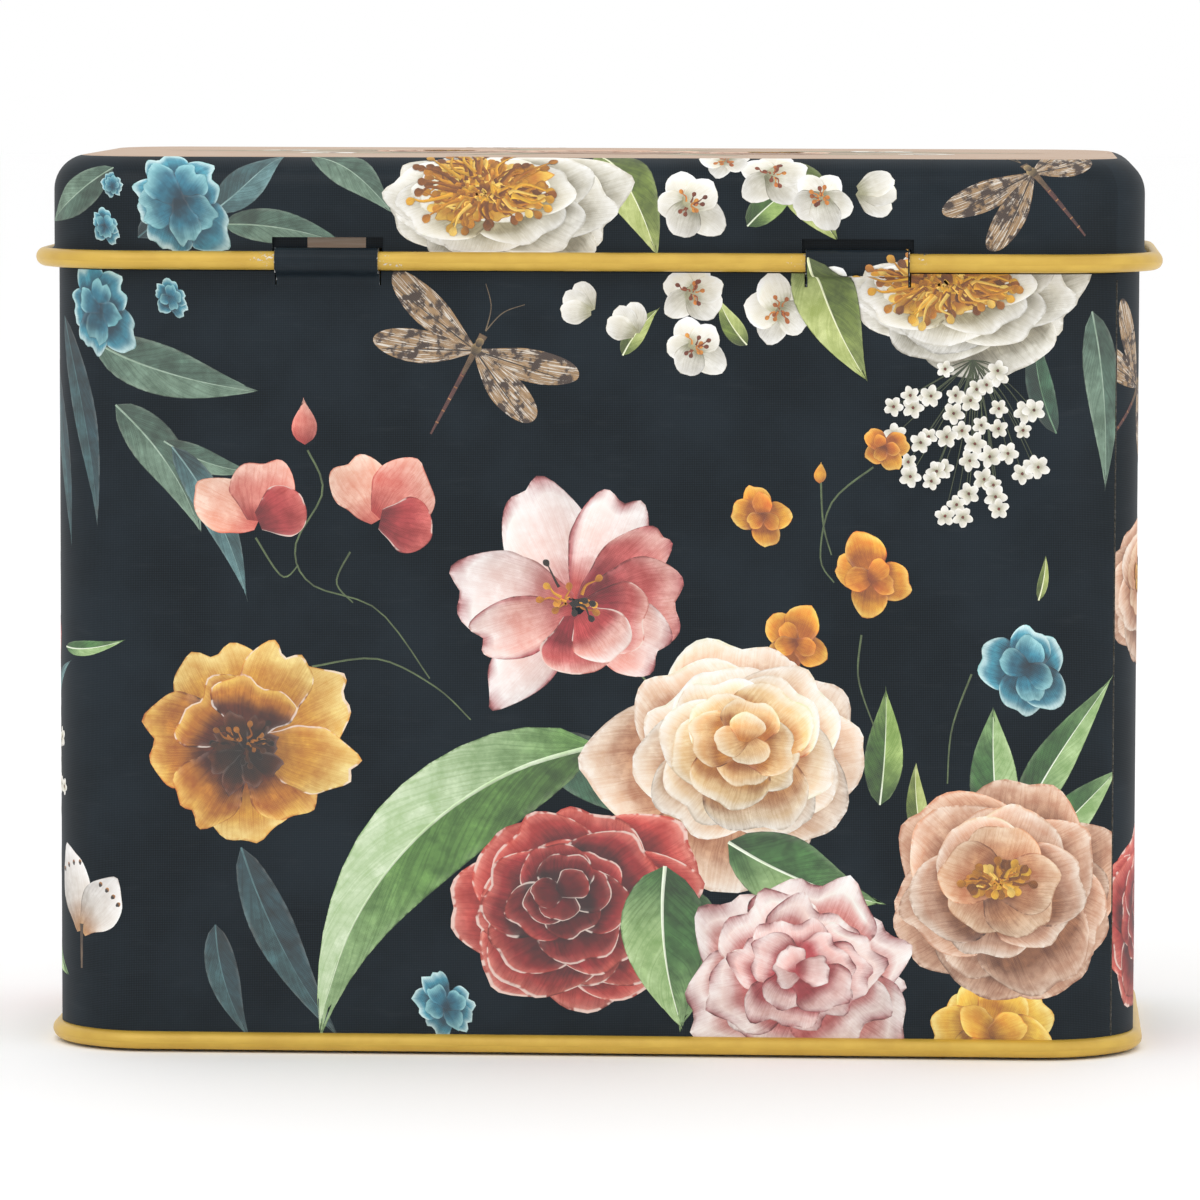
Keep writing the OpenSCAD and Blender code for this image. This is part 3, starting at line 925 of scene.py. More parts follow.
# the tin's sheets: an outer face, an inner face one sheet behind it, and the cut edges between
def layDown(name, sStops, tStops, sheetMap, body, materials, closed=True, keep=None, wear=None, cap=None,
            tone=None, flip=False):
    sStops, tStops = np.array(sStops), np.array(tStops)
    cols, rows = len(sStops) - (1 if closed else 0), len(tStops)
    s, t = [a.ravel() for a in np.meshgrid(sStops[:cols], tStops)]
    outer, n = sheetMap(s, t, np.zeros_like(s))
    inner, _ = sheetMap(s, t, np.full_like(s, -sheetThick))
    points, normals = [*outer, *inner], [*n, *-n]
    edgeWear = np.ones_like(s) if wear is None else wear(s, t)
    places = [*np.stack([s, t, edgeWear], -1)] * 2
    faces, paints, used = [], [], {}
    for j in range(rows - 1):
        for i in range(len(sStops) - 1):
            middle = ((sStops[i] + sStops[i + 1]) / 2, (tStops[j] + tStops[j + 1]) / 2)
            if keep and not keep(*middle):
                continue
            k = (i + 1) % cols
            ring = [j * cols + i, j * cols + k, (j + 1) * cols + k, (j + 1) * cols + i]
            faces += [tuple(ring), tuple(r + len(s) for r in reversed(ring))]
            paints += [tone(*middle) if tone else 0, 1]
            for a, b in zip(ring, ring[1:] + ring[:1]):
                if (b, a) in used:
                    used.pop((b, a))
                else:
                    used[(a, b)] = 1
    if cap is not None:
        ring = [(rows - 1) * cols + i for i in range(cols)]
        # the cap has its own points, so that its pattern runs straight across
        for start, order in ((0, 1), (len(s), -1)):
            first = len(points)
            points += [points[start + r] for r in ring]
            normals += [normals[start + r] for r in ring]
            places += [(*points[start + r][:2], 1.0) for r in ring]
            faces.append(tuple(range(first, first + cols))[::order])
        paints += [cap, 1]
        used = {e: 1 for e in used if not (e[0] in ring and e[1] in ring)}
    for a, b in used:
        corner = [outer[b], outer[a], inner[a], inner[b]]
        facing = np.cross(corner[1] - corner[0], corner[2] - corner[0])
        facing /= np.linalg.norm(facing) + 1e-12
        faces.append(tuple(range(len(points), len(points) + 4)))
        paints.append(2)
        points += corner
        normals += [facing] * 4
        places += [places[b], places[a], places[a], places[b]]
    fields = {"sheet": ("FLOAT_VECTOR", np.array(places))}
    if flip:
        faces = [face[::-1] for face in faces]
    piece = newObject(name, points, faces, body, materials, normals, fields)
    piece.data.polygons.foreach_set("material_index", paints)
    print(name, len(faces), "faces")
    return piece


def aroundStops(line, extra):
    # stops all the way round a sheet from its side seam, with the wanted ones added
    low, high = seamAt - line.length, seamAt
    stops = [low, *line.lines(low, high), high] + list(extra)
    return sorted({round(float(v), 5) for v in stops if low - 1e-6 <= v <= high + 1e-6})


windowHalf = lug["wide"] / 2 + 0.1
slotHalf = lid["slotWide"] / 2
slotTopAt = lid["curlZ"] + lid["curlRadius"] + lid["slotTop"]
slit = {"wide": 0.14, "top": 56.5}
sides = (-1, 1)


def offWindow(s, t):
    behindLug = any(abs(s - side * lug["centre"]) < windowHalf for side in sides)
    inWindow = behindLug and lug["root"] < t < lug["windowTop"]
    return not inWindow and (s > seamAt - wallLine.length + slit["wide"] or t > slit["top"])


wallExtra = [side * lug["centre"] + end * windowHalf for side in sides for end in sides]
wallExtra.append(seamAt - wallLine.length + slit["wide"])
wallStops = [wallLow[2], lug["root"], slit["top"], *sections["wall"][1:-1, 0], lug["windowTop"]]
wallStops.append(tin["rim"] - sheetThick)
patch = {"from": -20.75, "to": -16.5}  # a pale print fragment seen through the slot
wallExtra += [patch["from"], patch["to"]]


def wallTone(s, t):
    return 3 if t > lug["windowTop"] and patch["from"] < s < patch["to"] else 0


wallStops = sorted(set(wallStops))
bodySkin = layDown("bodySkin", aroundStops(wallLine, wallExtra), wallStops, plainWall, "tin_body",
                   [slate, goldInside, steel, pale], keep=offWindow, tone=wallTone)
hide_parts("body_wall")


def offSlot(s, t):
    return not (t < slotTopAt and any(abs(s - side * lug["centre"]) < slotHalf for side in sides))


paleAt = edgeAt + lid["paleFrom"] * edgeArc
lidExtra = [side * lug["centre"] + end * slotHalf for side in sides for end in sides]
lidStops = sorted({*[float(v) for v in sections["lid"][:, 0]], slotTopAt, paleAt})


def lidTone(s, t):
    return 3 if t > paleAt else 0


lidSkin = layDown("lidSkin", aroundStops(lidLine, lidExtra), lidStops, lidMap, "tin_lid",
                  [slate, goldInside, steel, pale], keep=offSlot, cap=3, tone=lidTone)
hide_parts("lid_shell")


def lugStrip(name, side, node):
    rows = sections["lug"]
    left, right = side * lug["centre"] - lug["wide"] / 2, side * lug["centre"] + lug["wide"] / 2
    sStops = np.linspace(left, right, 31)
    tStops = [float(v) for v in rows[:, 0]]

    def edges(s, t):
        return np.clip(np.minimum(np.minimum(s - left, right - s), tStops[-1] - t) / 0.6, 0, 1)

    inks = [slate, goldInside, steel]
    piece = layDown(name, sStops, tStops, wallMap, "tin_body", inks, closed=False, wear=edges)
    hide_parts(node)


lugStrip("lugLeft", -1, "hinge_lug_left")
lugStrip("lugRight", 1, "hinge_lug_right")


# beads, folds and the base
def sweep(name, line, section, body, material, dents=0.0, wear=None, seed=1):
    # carries a closed section of (out, height) points along an outline, with slight dents from handling
    farthest = 0.7
    stops = spread([0.0, *line.lines(0.0, line.length), line.length], farthest)[:-1]
    s = np.array(stops)
    x, y, nx, ny = line.at(s)
    out, up = np.array(section).T
    random = np.random.default_rng(seed)
    waves = [(random.integers(3, 60), random.uniform(0, 6.3), random.uniform(0.4, 1)) for _ in range(9)]
    turn = 2 * math.pi * s / line.length
    dent = sum(size * np.sin(count * turn + phase) for count, phase, size in waves) / 4 * dents
    middle = np.array([out.mean(), up.mean()])
    grow = 1 - np.abs(dent)[:, None]
    outs, ups = middle[0] + (out - middle[0]) * grow, middle[1] + (up - middle[1]) * grow
    points = np.stack([x[:, None] + nx[:, None] * outs, y[:, None] + ny[:, None] * outs, ups], -1)
    rows, cols = points.shape[:2]
    faces = []
    for i in range(rows):
        for j in range(cols):
            k, m = (i + 1) % rows, (j + 1) % cols
            faces.append((i * cols + j, k * cols + j, k * cols + m, i * cols + m))
    around = np.concatenate([[0], np.cumsum(np.hypot(np.diff(out), np.diff(up)))])
    worn = np.ones(rows) if wear is None else wear(s)
    place = np.stack([np.repeat(s, cols), np.tile(around, rows), np.repeat(worn, cols)], -1)
    piece = newObject(name, points.reshape(-1, 3), faces, body, [material],
                      fields={"sheet": ("FLOAT_VECTOR", place)})
    print(name, len(faces), "faces")
    return piece


def ringSection(out, z, radius, floor=-9.0):
    angles = np.linspace(0, 2 * math.pi, 28, endpoint=False)
    return [(out + radius * math.cos(a), max(floor, z + radius * math.sin(a))) for a in angles]


def lugWear(s):
    # the bead's lacquer is rubbed through near the lugs' ends
    wrapped = (s + lidLine.length / 2) % lidLine.length - lidLine.length / 2
    spots = [side * lug["centre"] + end * (lug["wide"] / 2 + 0.6) for side in sides for end in sides]
    near = np.min([np.abs(wrapped - spot) for spot in spots], axis=0)
    return np.clip(1.3 - near / 1.6, 0.0, 1.0)


lidRing = ringSection(lid["curlOut"], lid["curlZ"], lid["curlRadius"])
lidBead = sweep("lidBead", lidLine, lidRing, "tin_lid", gold, dents=0.012, wear=lugWear)
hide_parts("lid_curl")
baseRing = ringSection(0.0, base["curlZ"], base["curlRadius"], 0.0)
baseBead = sweep("baseBead", wallLine, baseRing, "tin_body", gold, dents=0.012, wear=np.zeros_like, seed=4)
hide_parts("base_curl")


def rimFold():
    # the body's top edge turned in and down, as one rounded section
    out, r, top = -tin["neckStep"], sheetThick, tin["rim"]
    bend = [(out - r + r * math.cos(a), top - r + r * math.sin(a)) for a in np.linspace(0, math.pi, 9)]
    tail = [(out - 2 * r, top - rimTurn), (out - 1.5 * r, top - rimTurn - r / 4)]
    tail.append((out - r - 0.01, top - rimTurn))
    return [*bend, *tail, (out - r - 0.01, top - r - 0.02), (out - 0.01, top - r - 0.02)]


rimTurn = hemHigh[2] - hemLow[2]
rimHem = sweep("rimHem", wallLine, rimFold(), "tin_body", gold, wear=lambda s: np.full_like(s, 0.6))
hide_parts("body_rim_hem")


seam = {"wide": 3.2, "fold": 0.09, "low": seamLow[2], "high": seamHigh[2]}


def seamStrip():
    # the folded side seam behind the slit: two edges hooked together and pressed flat
    r, half, loop = seam["fold"], seam["wide"] / 2, []
    for sx, sh, start in ((1, 1, 0), (-1, 1, 90), (-1, -1, 180), (1, -1, 270)):
        for k in range(5):
            a = math.radians(start + 22.5 * k)
            place = half + sx * (half - r) + r * math.cos(a)
            depth = sh * (sheetThick - r) + r * math.sin(a) - 2 * sheetThick - 0.01
            loop.append((seamAt + place, depth))
    s, h = np.array(loop).T
    x, y, nx, ny = wallLine.at(s)
    heights = np.linspace(seam["low"], seam["high"], 12)
    points = [(x[i] + nx[i] * h[i], y[i] + ny[i] * h[i], z) for z in heights for i in range(len(s))]
    count = len(s)
    faces = [tuple(reversed(range(count))), tuple(range(count * 11, count * 12))]
    for j in range(11):
        for i in range(count):
            k = (i + 1) % count
            faces.append((j * count + i, (j + 1) * count + i, (j + 1) * count + k, j * count + k))
    place = [(s[i], z, 0.5) for z in heights for i in range(count)]
    piece = newObject("sideSeam", points, faces, "tin_body", [goldInside],
                      fields={"sheet": ("FLOAT_VECTOR", np.array(place))}, smooth=False)
    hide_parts("side_seam")


seamStrip()


def baseSection():
    # from the curl up the riser, round its corner, then a pressed step and the flat panel
    riser, panel, r = -0.46, panelHigh[2] - sheetThick, 0.3
    rows = [(riser, base["curlZ"], -1, 0)]
    rows += [(riser - r + r * math.cos(a), panel - r + r * math.sin(a), -math.cos(a), -math.sin(a))
             for a in np.linspace(0, math.pi / 2, 6)]
    step, lift = -3.4, 0.3
    for k in range(9):
        share = k / 8
        slope = lift * math.pi / 2 * math.sin(math.pi * share)
        size = math.hypot(1, slope)
        height = panel + lift * (1 - math.cos(math.pi * share)) / 2
        rows.append((step - share, height, -slope / size, -1 / size))
    rows.append((step - 3.0, panel + lift, 0, -1))
    table = np.array(rows)
    reach = np.concatenate([[0], np.cumsum(np.hypot(np.diff(table[:, 0]), np.diff(table[:, 1])))])
    return np.column_stack([reach, table])


sections["base"] = baseSection()
basePlate = layDown("basePlate", aroundStops(wallLine, []), [float(v) for v in sections["base"][:, 0]],
                    lambda s, t, h: onSheet(s, t, h, wallLine, sections["base"]), "tin_body",
                    [baseSheet, goldInside, steel], cap=0, flip=True)
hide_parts("base_panel")


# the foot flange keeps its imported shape
flange = frame["nodes"]["body_foot_flange"]
flange.data.materials.clear()
flange.data.materials.append(foldSteel)


# the floral design, in mm along the sheet from the middle of the hinge side, and up it
def stemSet(p, stems, tone="#56683f", wide=0.15):
    for k, stops in enumerate(stems):
        ribbon(p, stops, wide, ink(tone), k, 0.35)


def leafSet(p, leaves, seed=0):
    for k, (root, tip, wide, tone, bend) in enumerate(leaves):
        leaf(p, root, tip, wide, leafTones[tone], bend, seed + k)


def hingeSideArt(p, seed=0):
    # back row: far leaves and stems
    leafSet(p, [
        ((-40.5, 53.5), (-36.4, 38.6), 2.6, "teal", 0.4), ((-43.5, 50.5), (-39.4, 37.0), 2.4, "teal", 0.4),
        ((-25.6, 14.9), (-18.6, 1.2), 3.2, "teal", -0.35), ((-27.5, 9.2), (-25.2, 1.2), 2.4, "teal", -0.5),
        ((-36.6, 51.8), (-24.6, 48.3), 3.9, "sage", -0.35),
        ((-34.8, 47.2), (-28.6, 38.2), 3.4, "sage", 0.55),
        ((-31.2, 44.6), (-24.9, 42.4), 1.9, "sage", -0.5),
        ((-30.6, 44.2), (-25.2, 33.3), 2.5, "blueGreen", 0.45),
        ((-40.4, 29.2), (-34.2, 30.0), 1.2, "fresh", -0.4),
        ((-44.5, 24.2), (-39.6, 28.2), 1.2, "blueGreen", 0.5),
        ((33.6, 45.5), (32.0, 53.6), 2.0, "forest", 0.5), ((36.3, 54.3), (37.6, 41.6), 3.3, "sage", 0.3),
        ((32.4, 33.4), (32.9, 36.6), 0.8, "lime", -0.3), ((21.0, 18.4), (21.4, 26.8), 2.9, "green", -0.15),
        ((31.0, 16.5), (38.4, 27.6), 3.2, "fresh", 0.4), ((29.6, 17.0), (29.2, 25.4), 3.6, "fresh", 0.15),
        ((33.0, 15.5), (38.8, 20.6), 3.0, "fresh", 0.3), ((24.2, 15.6), (23.6, 21.4), 1.6, "lime", 0.3),
    ], seed)
    stemSet(p, [
        [(-20.7, 44.0), (-19.6, 41.0), (-21.6, 37.0), (-20.4, 34.2), (-15.6, 32.4), (-11.8, 27.4)],
        [(-24.5, 37.6), (-22.6, 34.8), (-21.4, 35.6)], [(-17.6, 36.6), (-18.6, 34.4), (-17.4, 32.9)],
        [(-20.4, 28.2), (-15.6, 28.8), (-11.4, 26.8), (-8.8, 24.4)],
        [(20.4, 43.0), (17.4, 40.4), (16.6, 36.4), (17.6, 34.6)],
        [(16.6, 42.0), (16.8, 38.8), (17.4, 36.6)],
        [(19.6, 30.8), (19.4, 27.6), (20.6, 24.0)], [(27.6, 28.0), (26.2, 24.0), (25.9, 20.0)],
        [(3.2, 28.2), (4.6, 26.8), (6.0, 26.2)],
    ])
    petal(p, (16.5, 41.8), 1.5, 1.6, 0.9, [ink(c) for c in palettes["amber"][0]], "pointed", 3)
    # the big arching leaf and its neighbours
    leafSet(p, [
        ((-4.0, 22.6), (4.6, 16.6), 4.6, "forest", 0.55), ((0.4, 22.6), (-19.8, 1.6), 7.8, "arch", -1.25),
        ((6.0, 12.6), (6.6, 2.0), 6.0, "fresh", 0.35),
    ], seed + 40)
    for at, size, k in (((-36.3, 54.2), 4.3, 1), ((-30.7, 55.0), 1.7, 2), ((-10.6, 3.4), 3.0, 3)):
        bloom(p, at, size, [(5, 1.0, 0.8), (4, 0.66, 0.8)], palettes["sky"], 0.8, 0.5, seed=seed + k,
              kind="frilled")
    insect(p, (-8.5, 51.3), 8.0, math.radians(62), seed + 1)
    # the white flowers along the top
    leafSet(p, [((2.2, 51.0), (4.8, 54.4), 1.5, "lime", 0.4),
                ((11.2, 51.8), (9.2, 55.0), 1.6, "lime", 0.4)], seed + 60)
    for at, turn in (((-0.1, 54.2), 2.6), ((3.1, 52.6), 2.2)):
        for k in range(3):
            petal(p, at, turn + 0.6 * (k - 1), 2.3, 1.8, [ink(c) for c in palettes["snow"][0]], "round", k)
    for at, size, k in (((7.4, 51.6), 2.9, 1), ((7.2, 55.6), 2.9, 2), ((13.6, 54.4), 3.2, 3),
                        ((17.0, 57.0), 2.6, 4)):
        blossom(p, at, size, seed + k)
    peony(p, (26.8, 55.2), 10.2, "white", seed + 5, 0.62, stamen=(0.6, 1.3))
    leafSet(p, [((15.6, 59.4), (19.8, 49.4), 4.6, "lime", -0.35)], seed + 70)
    sprayOfTiny(p, (27.2, 44.8), 5.7, 44, seed + 6)
    # sweet peas, tulip and poppy
    petal(p, (-20.9, 44.4), 1.6, 3.4, 1.9, [ink(c) for c in palettes["salmon"][0]], "pointed", seed)
    sweetPea(p, (-24.3, 38.8), 5.0, seed + 1, 0.2)
    sweetPea(p, (-15.4, 39.0), 5.3, seed + 4, -0.4)
    tulip(p, (-1.0, 32.6), 9.0, seed + 7)
    poppy(p, (-25.3, 22.6), 7.6, seed + 8)
    for at, size, k in (((12.4, 39.4), 2.9, 1), ((20.3, 35.0), 3.6, 2), ((21.2, 44.4), 2.2, 3),
                        ((14.8, 30.2), 3.1, 4)):
        smallFlower(p, at, size, seed + k)
    # the large flowers, from the furthest to the nearest
    peony(p, (10.6, 21.6), 11.2, "cream", seed + 9, 0.88)
    leafSet(p, [((10.0, 15.6), (21.2, 11.2), 5.4, "fresh", -0.4)], seed + 80)
    bloom(p, (31.6, 28.4), 4.4, [(5, 1.0, 0.9), (4, 0.66, 0.84)], palettes["sky"], 0.86, 0.5, seed=seed + 9)
    smallFlower(p, (29.3, 1.8), 5.4, seed + 3, "lemon", 9)
    peony(p, (30.4, 11.4), 10.4, "blush", seed + 10, 0.9, stamen=(0.24, 0.9))
    peony(p, (-0.9, 10.4), 10.6, "wine", seed + 11, 0.88)
    leafSet(p, [((5.4, 13.8), (6.6, 2.2), 6.4, "fresh", -0.45)], seed + 90)
    frilledBloom(p, (15.2, 5.6), 9.4, seed + 12)
    butterfly(p, (-38.2, 8.4), 6.2, math.radians(75), seed + 13)


goldStamens = ("#b87814", "#dba425", "#8a4f10", "#efc860", "#c98a1c")


def peony(p, at, size, palette, seed, squash=0.85, stamen=None):
    rings = [(8, 1.0, 0.92), (7, 0.86, 0.94), (6, 0.70, 0.98), (5, 0.54, 1.02), (4, 0.38, 1.06),
             (3, 0.25, 1.1)]
    drift = (0.12 * math.sin(seed), 0.14)
    bloom(p, at, size, rings[:4] if stamen else rings, palettes[palette], squash, math.pi / 2, drift, seed,
          lit=palette == "wine")
    if stamen:
        middle = np.array(at, float) + size * np.array(drift)
        reach, flat = size * stamen[0], 0.45 * stamen[1]
        bloom(p, middle, reach * 0.9, [(7, 1.0, 0.7), (5, 0.6, 0.8)], palettes["gold"], flat, math.pi / 2,
              seed=seed, kind="frilled")
        stamens(p, middle, reach, int(170 * stamen[0] / 0.6), goldStamens, flat, seed, 0.30)


def frilledBloom(p, at, size, seed):
    rings = [(7, 1.0, 0.98), (6, 0.84, 0.98), (5, 0.64, 1.02), (4, 0.46, 1.06), (3, 0.28, 1.1)]
    bloom(p, at, size, rings, palettes["frill"], 0.86, math.pi / 2, (0.0, 0.08), seed, "frilled",
          ink("#96202c"))


def petalSet(p, at, size, rows, tones, kind, seed, **changes):
    # petals listed one by one: direction, length and width as shares of the flower, and which tones
    for angle, long, wide, tone, crease in rows:
        turn = math.radians(angle)
        root = np.array(at) + 0.05 * size * np.array([math.cos(turn), math.sin(turn)])
        changes["crease"] = crease
        petal(p, root, turn, size * long, size * wide, tones[tone], kind, seed + angle, **changes)


def tulip(p, at, size, seed):
    tones = [[ink(c) for c in row] for row in palettes["coral"]]
    rim = ink("#a8303a")
    petalSet(p, at, size, [(114, 1.02, 0.74, 0, 0.0), (66, 1.0, 0.62, 0, 0.1), (40, 0.86, 0.5, 2, 0.3)],
             tones, "petal", seed, veins=18.0, ruffle=0.045, edgeTone=rim)
    petalSet(p, at, size, [(4, 0.84, 0.78, 2, 0.2), (-28, 0.78, 0.62, 1, 0.3), (172, 1.0, 0.76, 0, 0.1),
                           (226, 0.98, 0.5, 0, 0.1), (198, 0.86, 0.5, 1, 0.0)], tones, "petal", seed + 1,
             veins=18.0, ruffle=0.045, edgeTone=rim)
    petalSet(p, at, size, [(-12, 0.56, 0.6, 2, 0.4), (-82, 0.50, 0.70, 2, 0.45), (-50, 0.46, 0.5, 1, 0.4)],
             tones, "round", seed + 2, ruffle=0.05, lit=True)
    middle = np.array(at, float) + (-0.06 * size, 0.06 * size)
    stamens(p, middle, size * 0.30, 9, ("#c9851c", "#dfa32a"), 0.9, seed, 0.26)
    stamens(p, middle + (-0.2, 0.3), size * 0.34, 6, ("#1e130c", "#2f1c10"), 0.9, seed + 1, 0.24)


def poppy(p, at, size, seed):
    tones = [[ink(c) for c in row] for row in palettes["ochre"]]
    petalSet(p, at, size, [(112, 0.94, 0.9, 0, 0.3), (178, 0.92, 0.94, 1, 0.42), (272, 0.90, 0.86, 0, 0.42),
                           (232, 0.86, 0.7, 1, 0.45), (312, 0.84, 0.72, 1, 0.4)], tones, "frilled", seed,
                           ruffle=0.04)
    petalSet(p, at, size, [(28, 1.06, 0.86, 0, 0.1), (-14, 1.04, 0.66, 0, 0.1), (64, 0.98, 0.7, 0, 0.2)],
             tones, "frilled", seed + 1, ruffle=0.04, lit=True)
    petalSet(p, at, size, [(138, 0.62, 0.86, 1, 0.5), (78, 0.56, 0.86, 1, 0.5)], tones, "frilled",
             seed + 2, lit=True)
    heart = [[ink(c) for c in ("#1a0e08", "#341a0c", "#5e2c10")]]
    petalSet(p, np.array(at) - (0.0, 0.1 * size), size * 0.36,
             [(20 + 45 * k, 0.9 + 0.12 * (k % 3), 0.62, 0, 0.2) for k in range(8)], heart, "frilled", seed)
    stamens(p, np.array(at, float), size * 0.32, 30, ("#22130b", "#4e2a10", "#a8691c"), 0.7, seed, 0.22)


def sideArt(p, seed=0):
    # a narrower posy for the short sides, about the middle of the side
    leafSet(p, [
        ((-2, 26), (-13, 34), 4.0, "sage", 0.5), ((3, 26), (12, 36), 3.6, "blueGreen", -0.4),
        ((0, 14), (14, 5), 5.0, "fresh", -0.4), ((-3, 12), (-9, 2), 4.4, "green", 0.5),
        ((-6, 54), (-12, 42), 2.6, "teal", 0.4), ((4, 56), (11, 46), 2.8, "sage", -0.4),
        ((2, 30), (3, 42), 2.6, "lime", 0.3),
    ], seed)
    stemSet(p, [[(1, 28), (0, 34), (2, 41)], [(-3, 30), (-5, 36), (-4, 42)]])
    insect(p, (-12.3, 48.6), 7.0, math.radians(40), seed)
    smallFlower(p, (2.4, 42.6), 3.0, seed + 1)
    smallFlower(p, (-4.6, 42.4), 2.4, seed + 2)
    blossom(p, (3.2, 53.0), 3.0, seed + 3)
    blossom(p, (8.4, 50.8), 2.6, seed + 4)
    peony(p, (-10.6, 33.5), 7.6, "blush", seed + 5, 0.85, stamen=(0.26, 1.0))
    tulip(p, (5.6, 29.0), 7.6, seed + 6)
    peony(p, (-9.6, 9.2), 9.4, "wine", seed + 7)
    peony(p, (4.6, 12.6), 8.4, "cream", seed + 8)
    sprayOfTiny(p, (10.4, 20.4), 4.0, 16, seed + 9)


def lidBackArt(p, seed=0):
    leafSet(p, [
        ((-35.2, 64.6), (-42.6, 60.4), 3.0, "sage", 0.3), ((-26.8, 60.4), (-17.6, 58.8), 2.6, "sage", 0.4),
        ((-20.6, 66.4), (-14.6, 61.4), 3.0, "sage", 0.4),
        ((-27.4, 61.4), (-22.6, 66.2), 2.8, "blueGreen", -0.3),
        ((-33.0, 59.4), (-27.0, 63.0), 2.2, "teal", 0.4), ((0.2, 66.8), (4.6, 58.4), 4.0, "lime", 0.4),
        ((14.0, 65.6), (17.6, 59.6), 3.4, "lime", -0.3), ((11.2, 60.4), (15.4, 63.8), 2.2, "green", 0.3),
    ], seed)
    for at, size, k in (((-30.0, 62.0), 5.2, 1), ((-35.6, 60.2), 1.6, 2), ((-35.0, 63.2), 1.2, 3)):
        bloom(p, at, size, [(5, 1.0, 0.8), (5, 0.7, 0.8)], palettes["sky"], 0.8, 0.5, seed=seed + k,
              kind="frilled")
    peony(p, (-6.6, 61.6), 10.4, "white", seed + 5, 0.62, stamen=(0.55, 1.3))
    for at, size, k in (((7.0, 61.9), 3.3, 1), ((13.0, 64.2), 3.2, 2), ((9.6, 65.8), 2.4, 3),
                        ((16.6, 62.4), 2.6, 4)):
        blossom(p, at, size, seed + k)
    for k in range(3):
        petal(p, (19.2, 63.0), -0.1 + 0.5 * (k - 1), 2.8, 2.0, [ink(c) for c in palettes["snow"][0]],
              "round", k)
    insect(p, (31.8, 64.4), 7.0, math.radians(130), seed)


def lidTopArt(p, seed=0):
    # a pale posy lying along the top
    for turn in (1, -1):
        leafSet(p, [
            ((turn * 6, 1), (turn * 24, 6), 4.0, "mist", turn * 0.4),
            ((turn * 8, -1), (turn * 26, -5), 4.0, "mist", -turn * 0.4),
            ((turn * 16, 1), (turn * 33, 0.6), 3.6, "mist", turn * 0.3),
            ((turn * 3, 3), (turn * 9, 11), 3.4, "mist", turn * 0.4),
            ((turn * 4, -3), (turn * 11, -11), 3.4, "mist", -turn * 0.4),
        ], seed)
        blossom(p, (turn * 20.5, turn * 4.5), 2.8, seed + turn)
        blossom(p, (turn * 24.0, -turn * 3.6), 2.4, seed + 3 + turn)
        peony(p, (turn * 12.0, -turn * 1.6), 6.6, "shell", seed + 5 + turn, 0.9, stamen=(0.26, 1.2))
    peony(p, (0.0, 0.4), 8.2, "shell", seed + 9, 0.92)


bodyPrint, lidPrint, topPrint = Print(), Print(), Print()
lidTopArt(topPrint, 40)
half = wallLine.length / 2
hingeSideArt(bodyPrint)
bodyPrint.place((-half / 2, 0.0))
sideArt(bodyPrint, 300)
bodyPrint.place((-half, 0.0), -1)
hingeSideArt(bodyPrint, 600)
bodyPrint.place((-half * 1.5, 0.0))
sideArt(bodyPrint, 900)
lidPrint.place()
lidBackArt(lidPrint)
lidHalf = lidLine.length / 2
lidPrint.place((-lidHalf, 0.0), -1)
lidBackArt(lidPrint, 200)
print(len(bodyPrint.shapes), "shapes on the body,", len(lidPrint.shapes), "on the lid")

farUp = 99.0
lugMiddles = [side * lug["centre"] for side in sides]
wallHoles = [(at - windowHalf, at + windowHalf, lug["root"], farUp) for at in lugMiddles]
beadTop = base["curlZ"] + base["curlRadius"]
# the print is parted along the sheet, to keep each piece small
bodyEnds = [seamAt - wallLine.length + slit["wide"], -150.0, -109.0, -66.0, -44.0, -22.0, 0.0, 20.0, seamAt]
for k in range(len(bodyEnds) - 1):
    layPrint(bodyPrint, f"bodyPrint{k + 1}", "tin_body", wallMap, wallLine,
             (bodyEnds[k], bodyEnds[k + 1], beadTop - 0.05, tin["shoulder"]), holes=wallHoles)
lugRows = [float(v) for v in sections["lug"][1:-1, 0]]
lugWindow = (lug["centre"] - lug["wide"] / 2 + 0.12, lug["centre"] + lug["wide"] / 2 - 0.12, lug["root"],
             float(sections["lug"][-1, 0]) - 0.25)
layPrint(bodyPrint, "lugPrintRight", "tin_body", wallMap, None, lugWindow, lugRows)
slotHoles = [(at - slotHalf, at + slotHalf, 0.0, slotTopAt) for at in lugMiddles]
lidRows = [float(v) for v in sections["lid"][:, 0]]
lidEnds = [seamAt - lidLine.length, -109.0, -44.0, 0.0, seamAt]
for k in range(len(lidEnds) - 1):
    layPrint(lidPrint, f"lidPrint{k + 1}", "tin_lid", lidMap, lidLine,
             (lidEnds[k], lidEnds[k + 1], lidRows[0] + 0.15, paleAt), lidRows, slotHoles)
topWindow = (-36.0, 36.0, -14.0, 14.0)
layPrint(topPrint, "lidTopPrint", "tin_lid", topMap, None, topWindow)


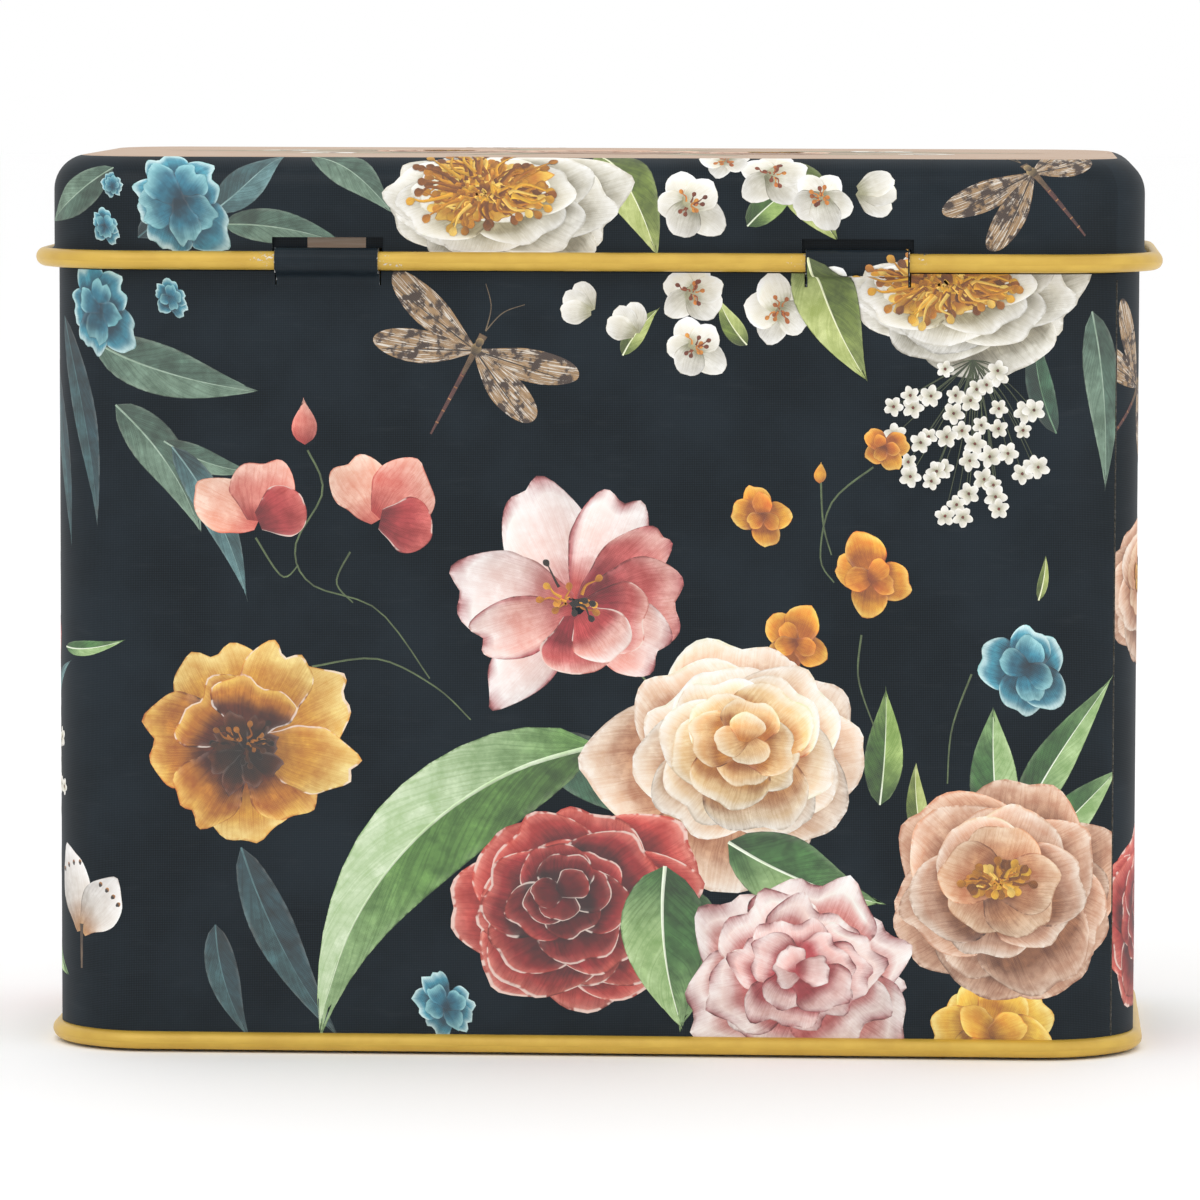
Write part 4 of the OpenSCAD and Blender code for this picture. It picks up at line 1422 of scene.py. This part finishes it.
# floor, light and camera
def plainStage():
    size, drop = 3.0, 0.0002
    corners = [(-size, -size, 0), (size, -size, 0), (size, size, 0), (-size, size, 0)]
    mesh = bpy.data.meshes.new("floor")
    mesh.from_pydata(corners, [], [(0, 1, 2, 3)])
    floor = bpy.data.objects.new("floor", mesh)
    bpy.context.scene.collection.objects.link(floor)
    paint = Paint("paleFloor", {"Roughness": 0.8})
    grain = paint.noise(paint.node("ShaderNodeTexCoord", {}, {}, 3), 30.0)
    paint.drive(Base_Color=paint.mix(grain * 0.04, ink("#ffffff"), ink("#e6e6e6")))
    mesh.materials.append(paint.material)
    floor.location.z = -drop


plainStage()
scene = bpy.context.scene
world = bpy.data.worlds.new("softRoom")
scene.world = world
world.use_nodes = True
world.node_tree.nodes["Background"].inputs["Color"].default_value = (1.0, 1.0, 1.0, 1.0)
world.node_tree.nodes["Background"].inputs["Strength"].default_value = 1.0
scene.view_settings.view_transform = "Standard"

lookAt = Vector((0, 0, 0.03))
lamps = {
    "key": {"at": (-0.30, -0.55, 0.62), "size": 0.50, "power": 1.0},
    "fill": {"at": (0.55, -0.45, 0.30), "size": 0.60, "power": 0.5},
    "top": {"at": (0.0, 0.25, 0.70), "size": 0.60, "power": 0.5},
}
for name, values in lamps.items():
    light = bpy.data.lights.new(name, "AREA")
    light.energy, light.size = values["power"], values["size"]
    lamp = bpy.data.objects.new(name, light)
    scene.collection.objects.link(lamp)
    lamp.location = values["at"]
    lamp.rotation_euler = (lookAt - lamp.location).to_track_quat("-Z", "Y").to_euler()

view = {
    "target": (-0.34, 0.0, 31.7),
    "distance": 538.0,
    "turn": 3.0,
    "rise": 4.8,
    "roll": 0.14,
    "lens": 214.7,
    "sensor": 36.0,
    "near": 0.01,
    "far": 20.0,
}
camera = bpy.data.cameras.new("camera")
camera.lens, camera.sensor_width = view["lens"], view["sensor"]
camera.clip_start, camera.clip_end = view["near"], view["far"]
cameraObject = bpy.data.objects.new("camera", camera)
scene.collection.objects.link(cameraObject)
turn, rise = math.radians(view["turn"]), math.radians(view["rise"])
back = Vector((math.sin(turn) * math.cos(rise), -math.cos(turn) * math.cos(rise), math.sin(rise)))
cameraObject.location = Vector(view["target"]) * mm + back * view["distance"] * mm
cameraObject.rotation_euler = (-back).to_track_quat("-Z", "Y").to_euler()
cameraObject.rotation_euler.rotate_axis("Z", math.radians(view["roll"]))
scene.camera = cameraObject

print("scene ready")
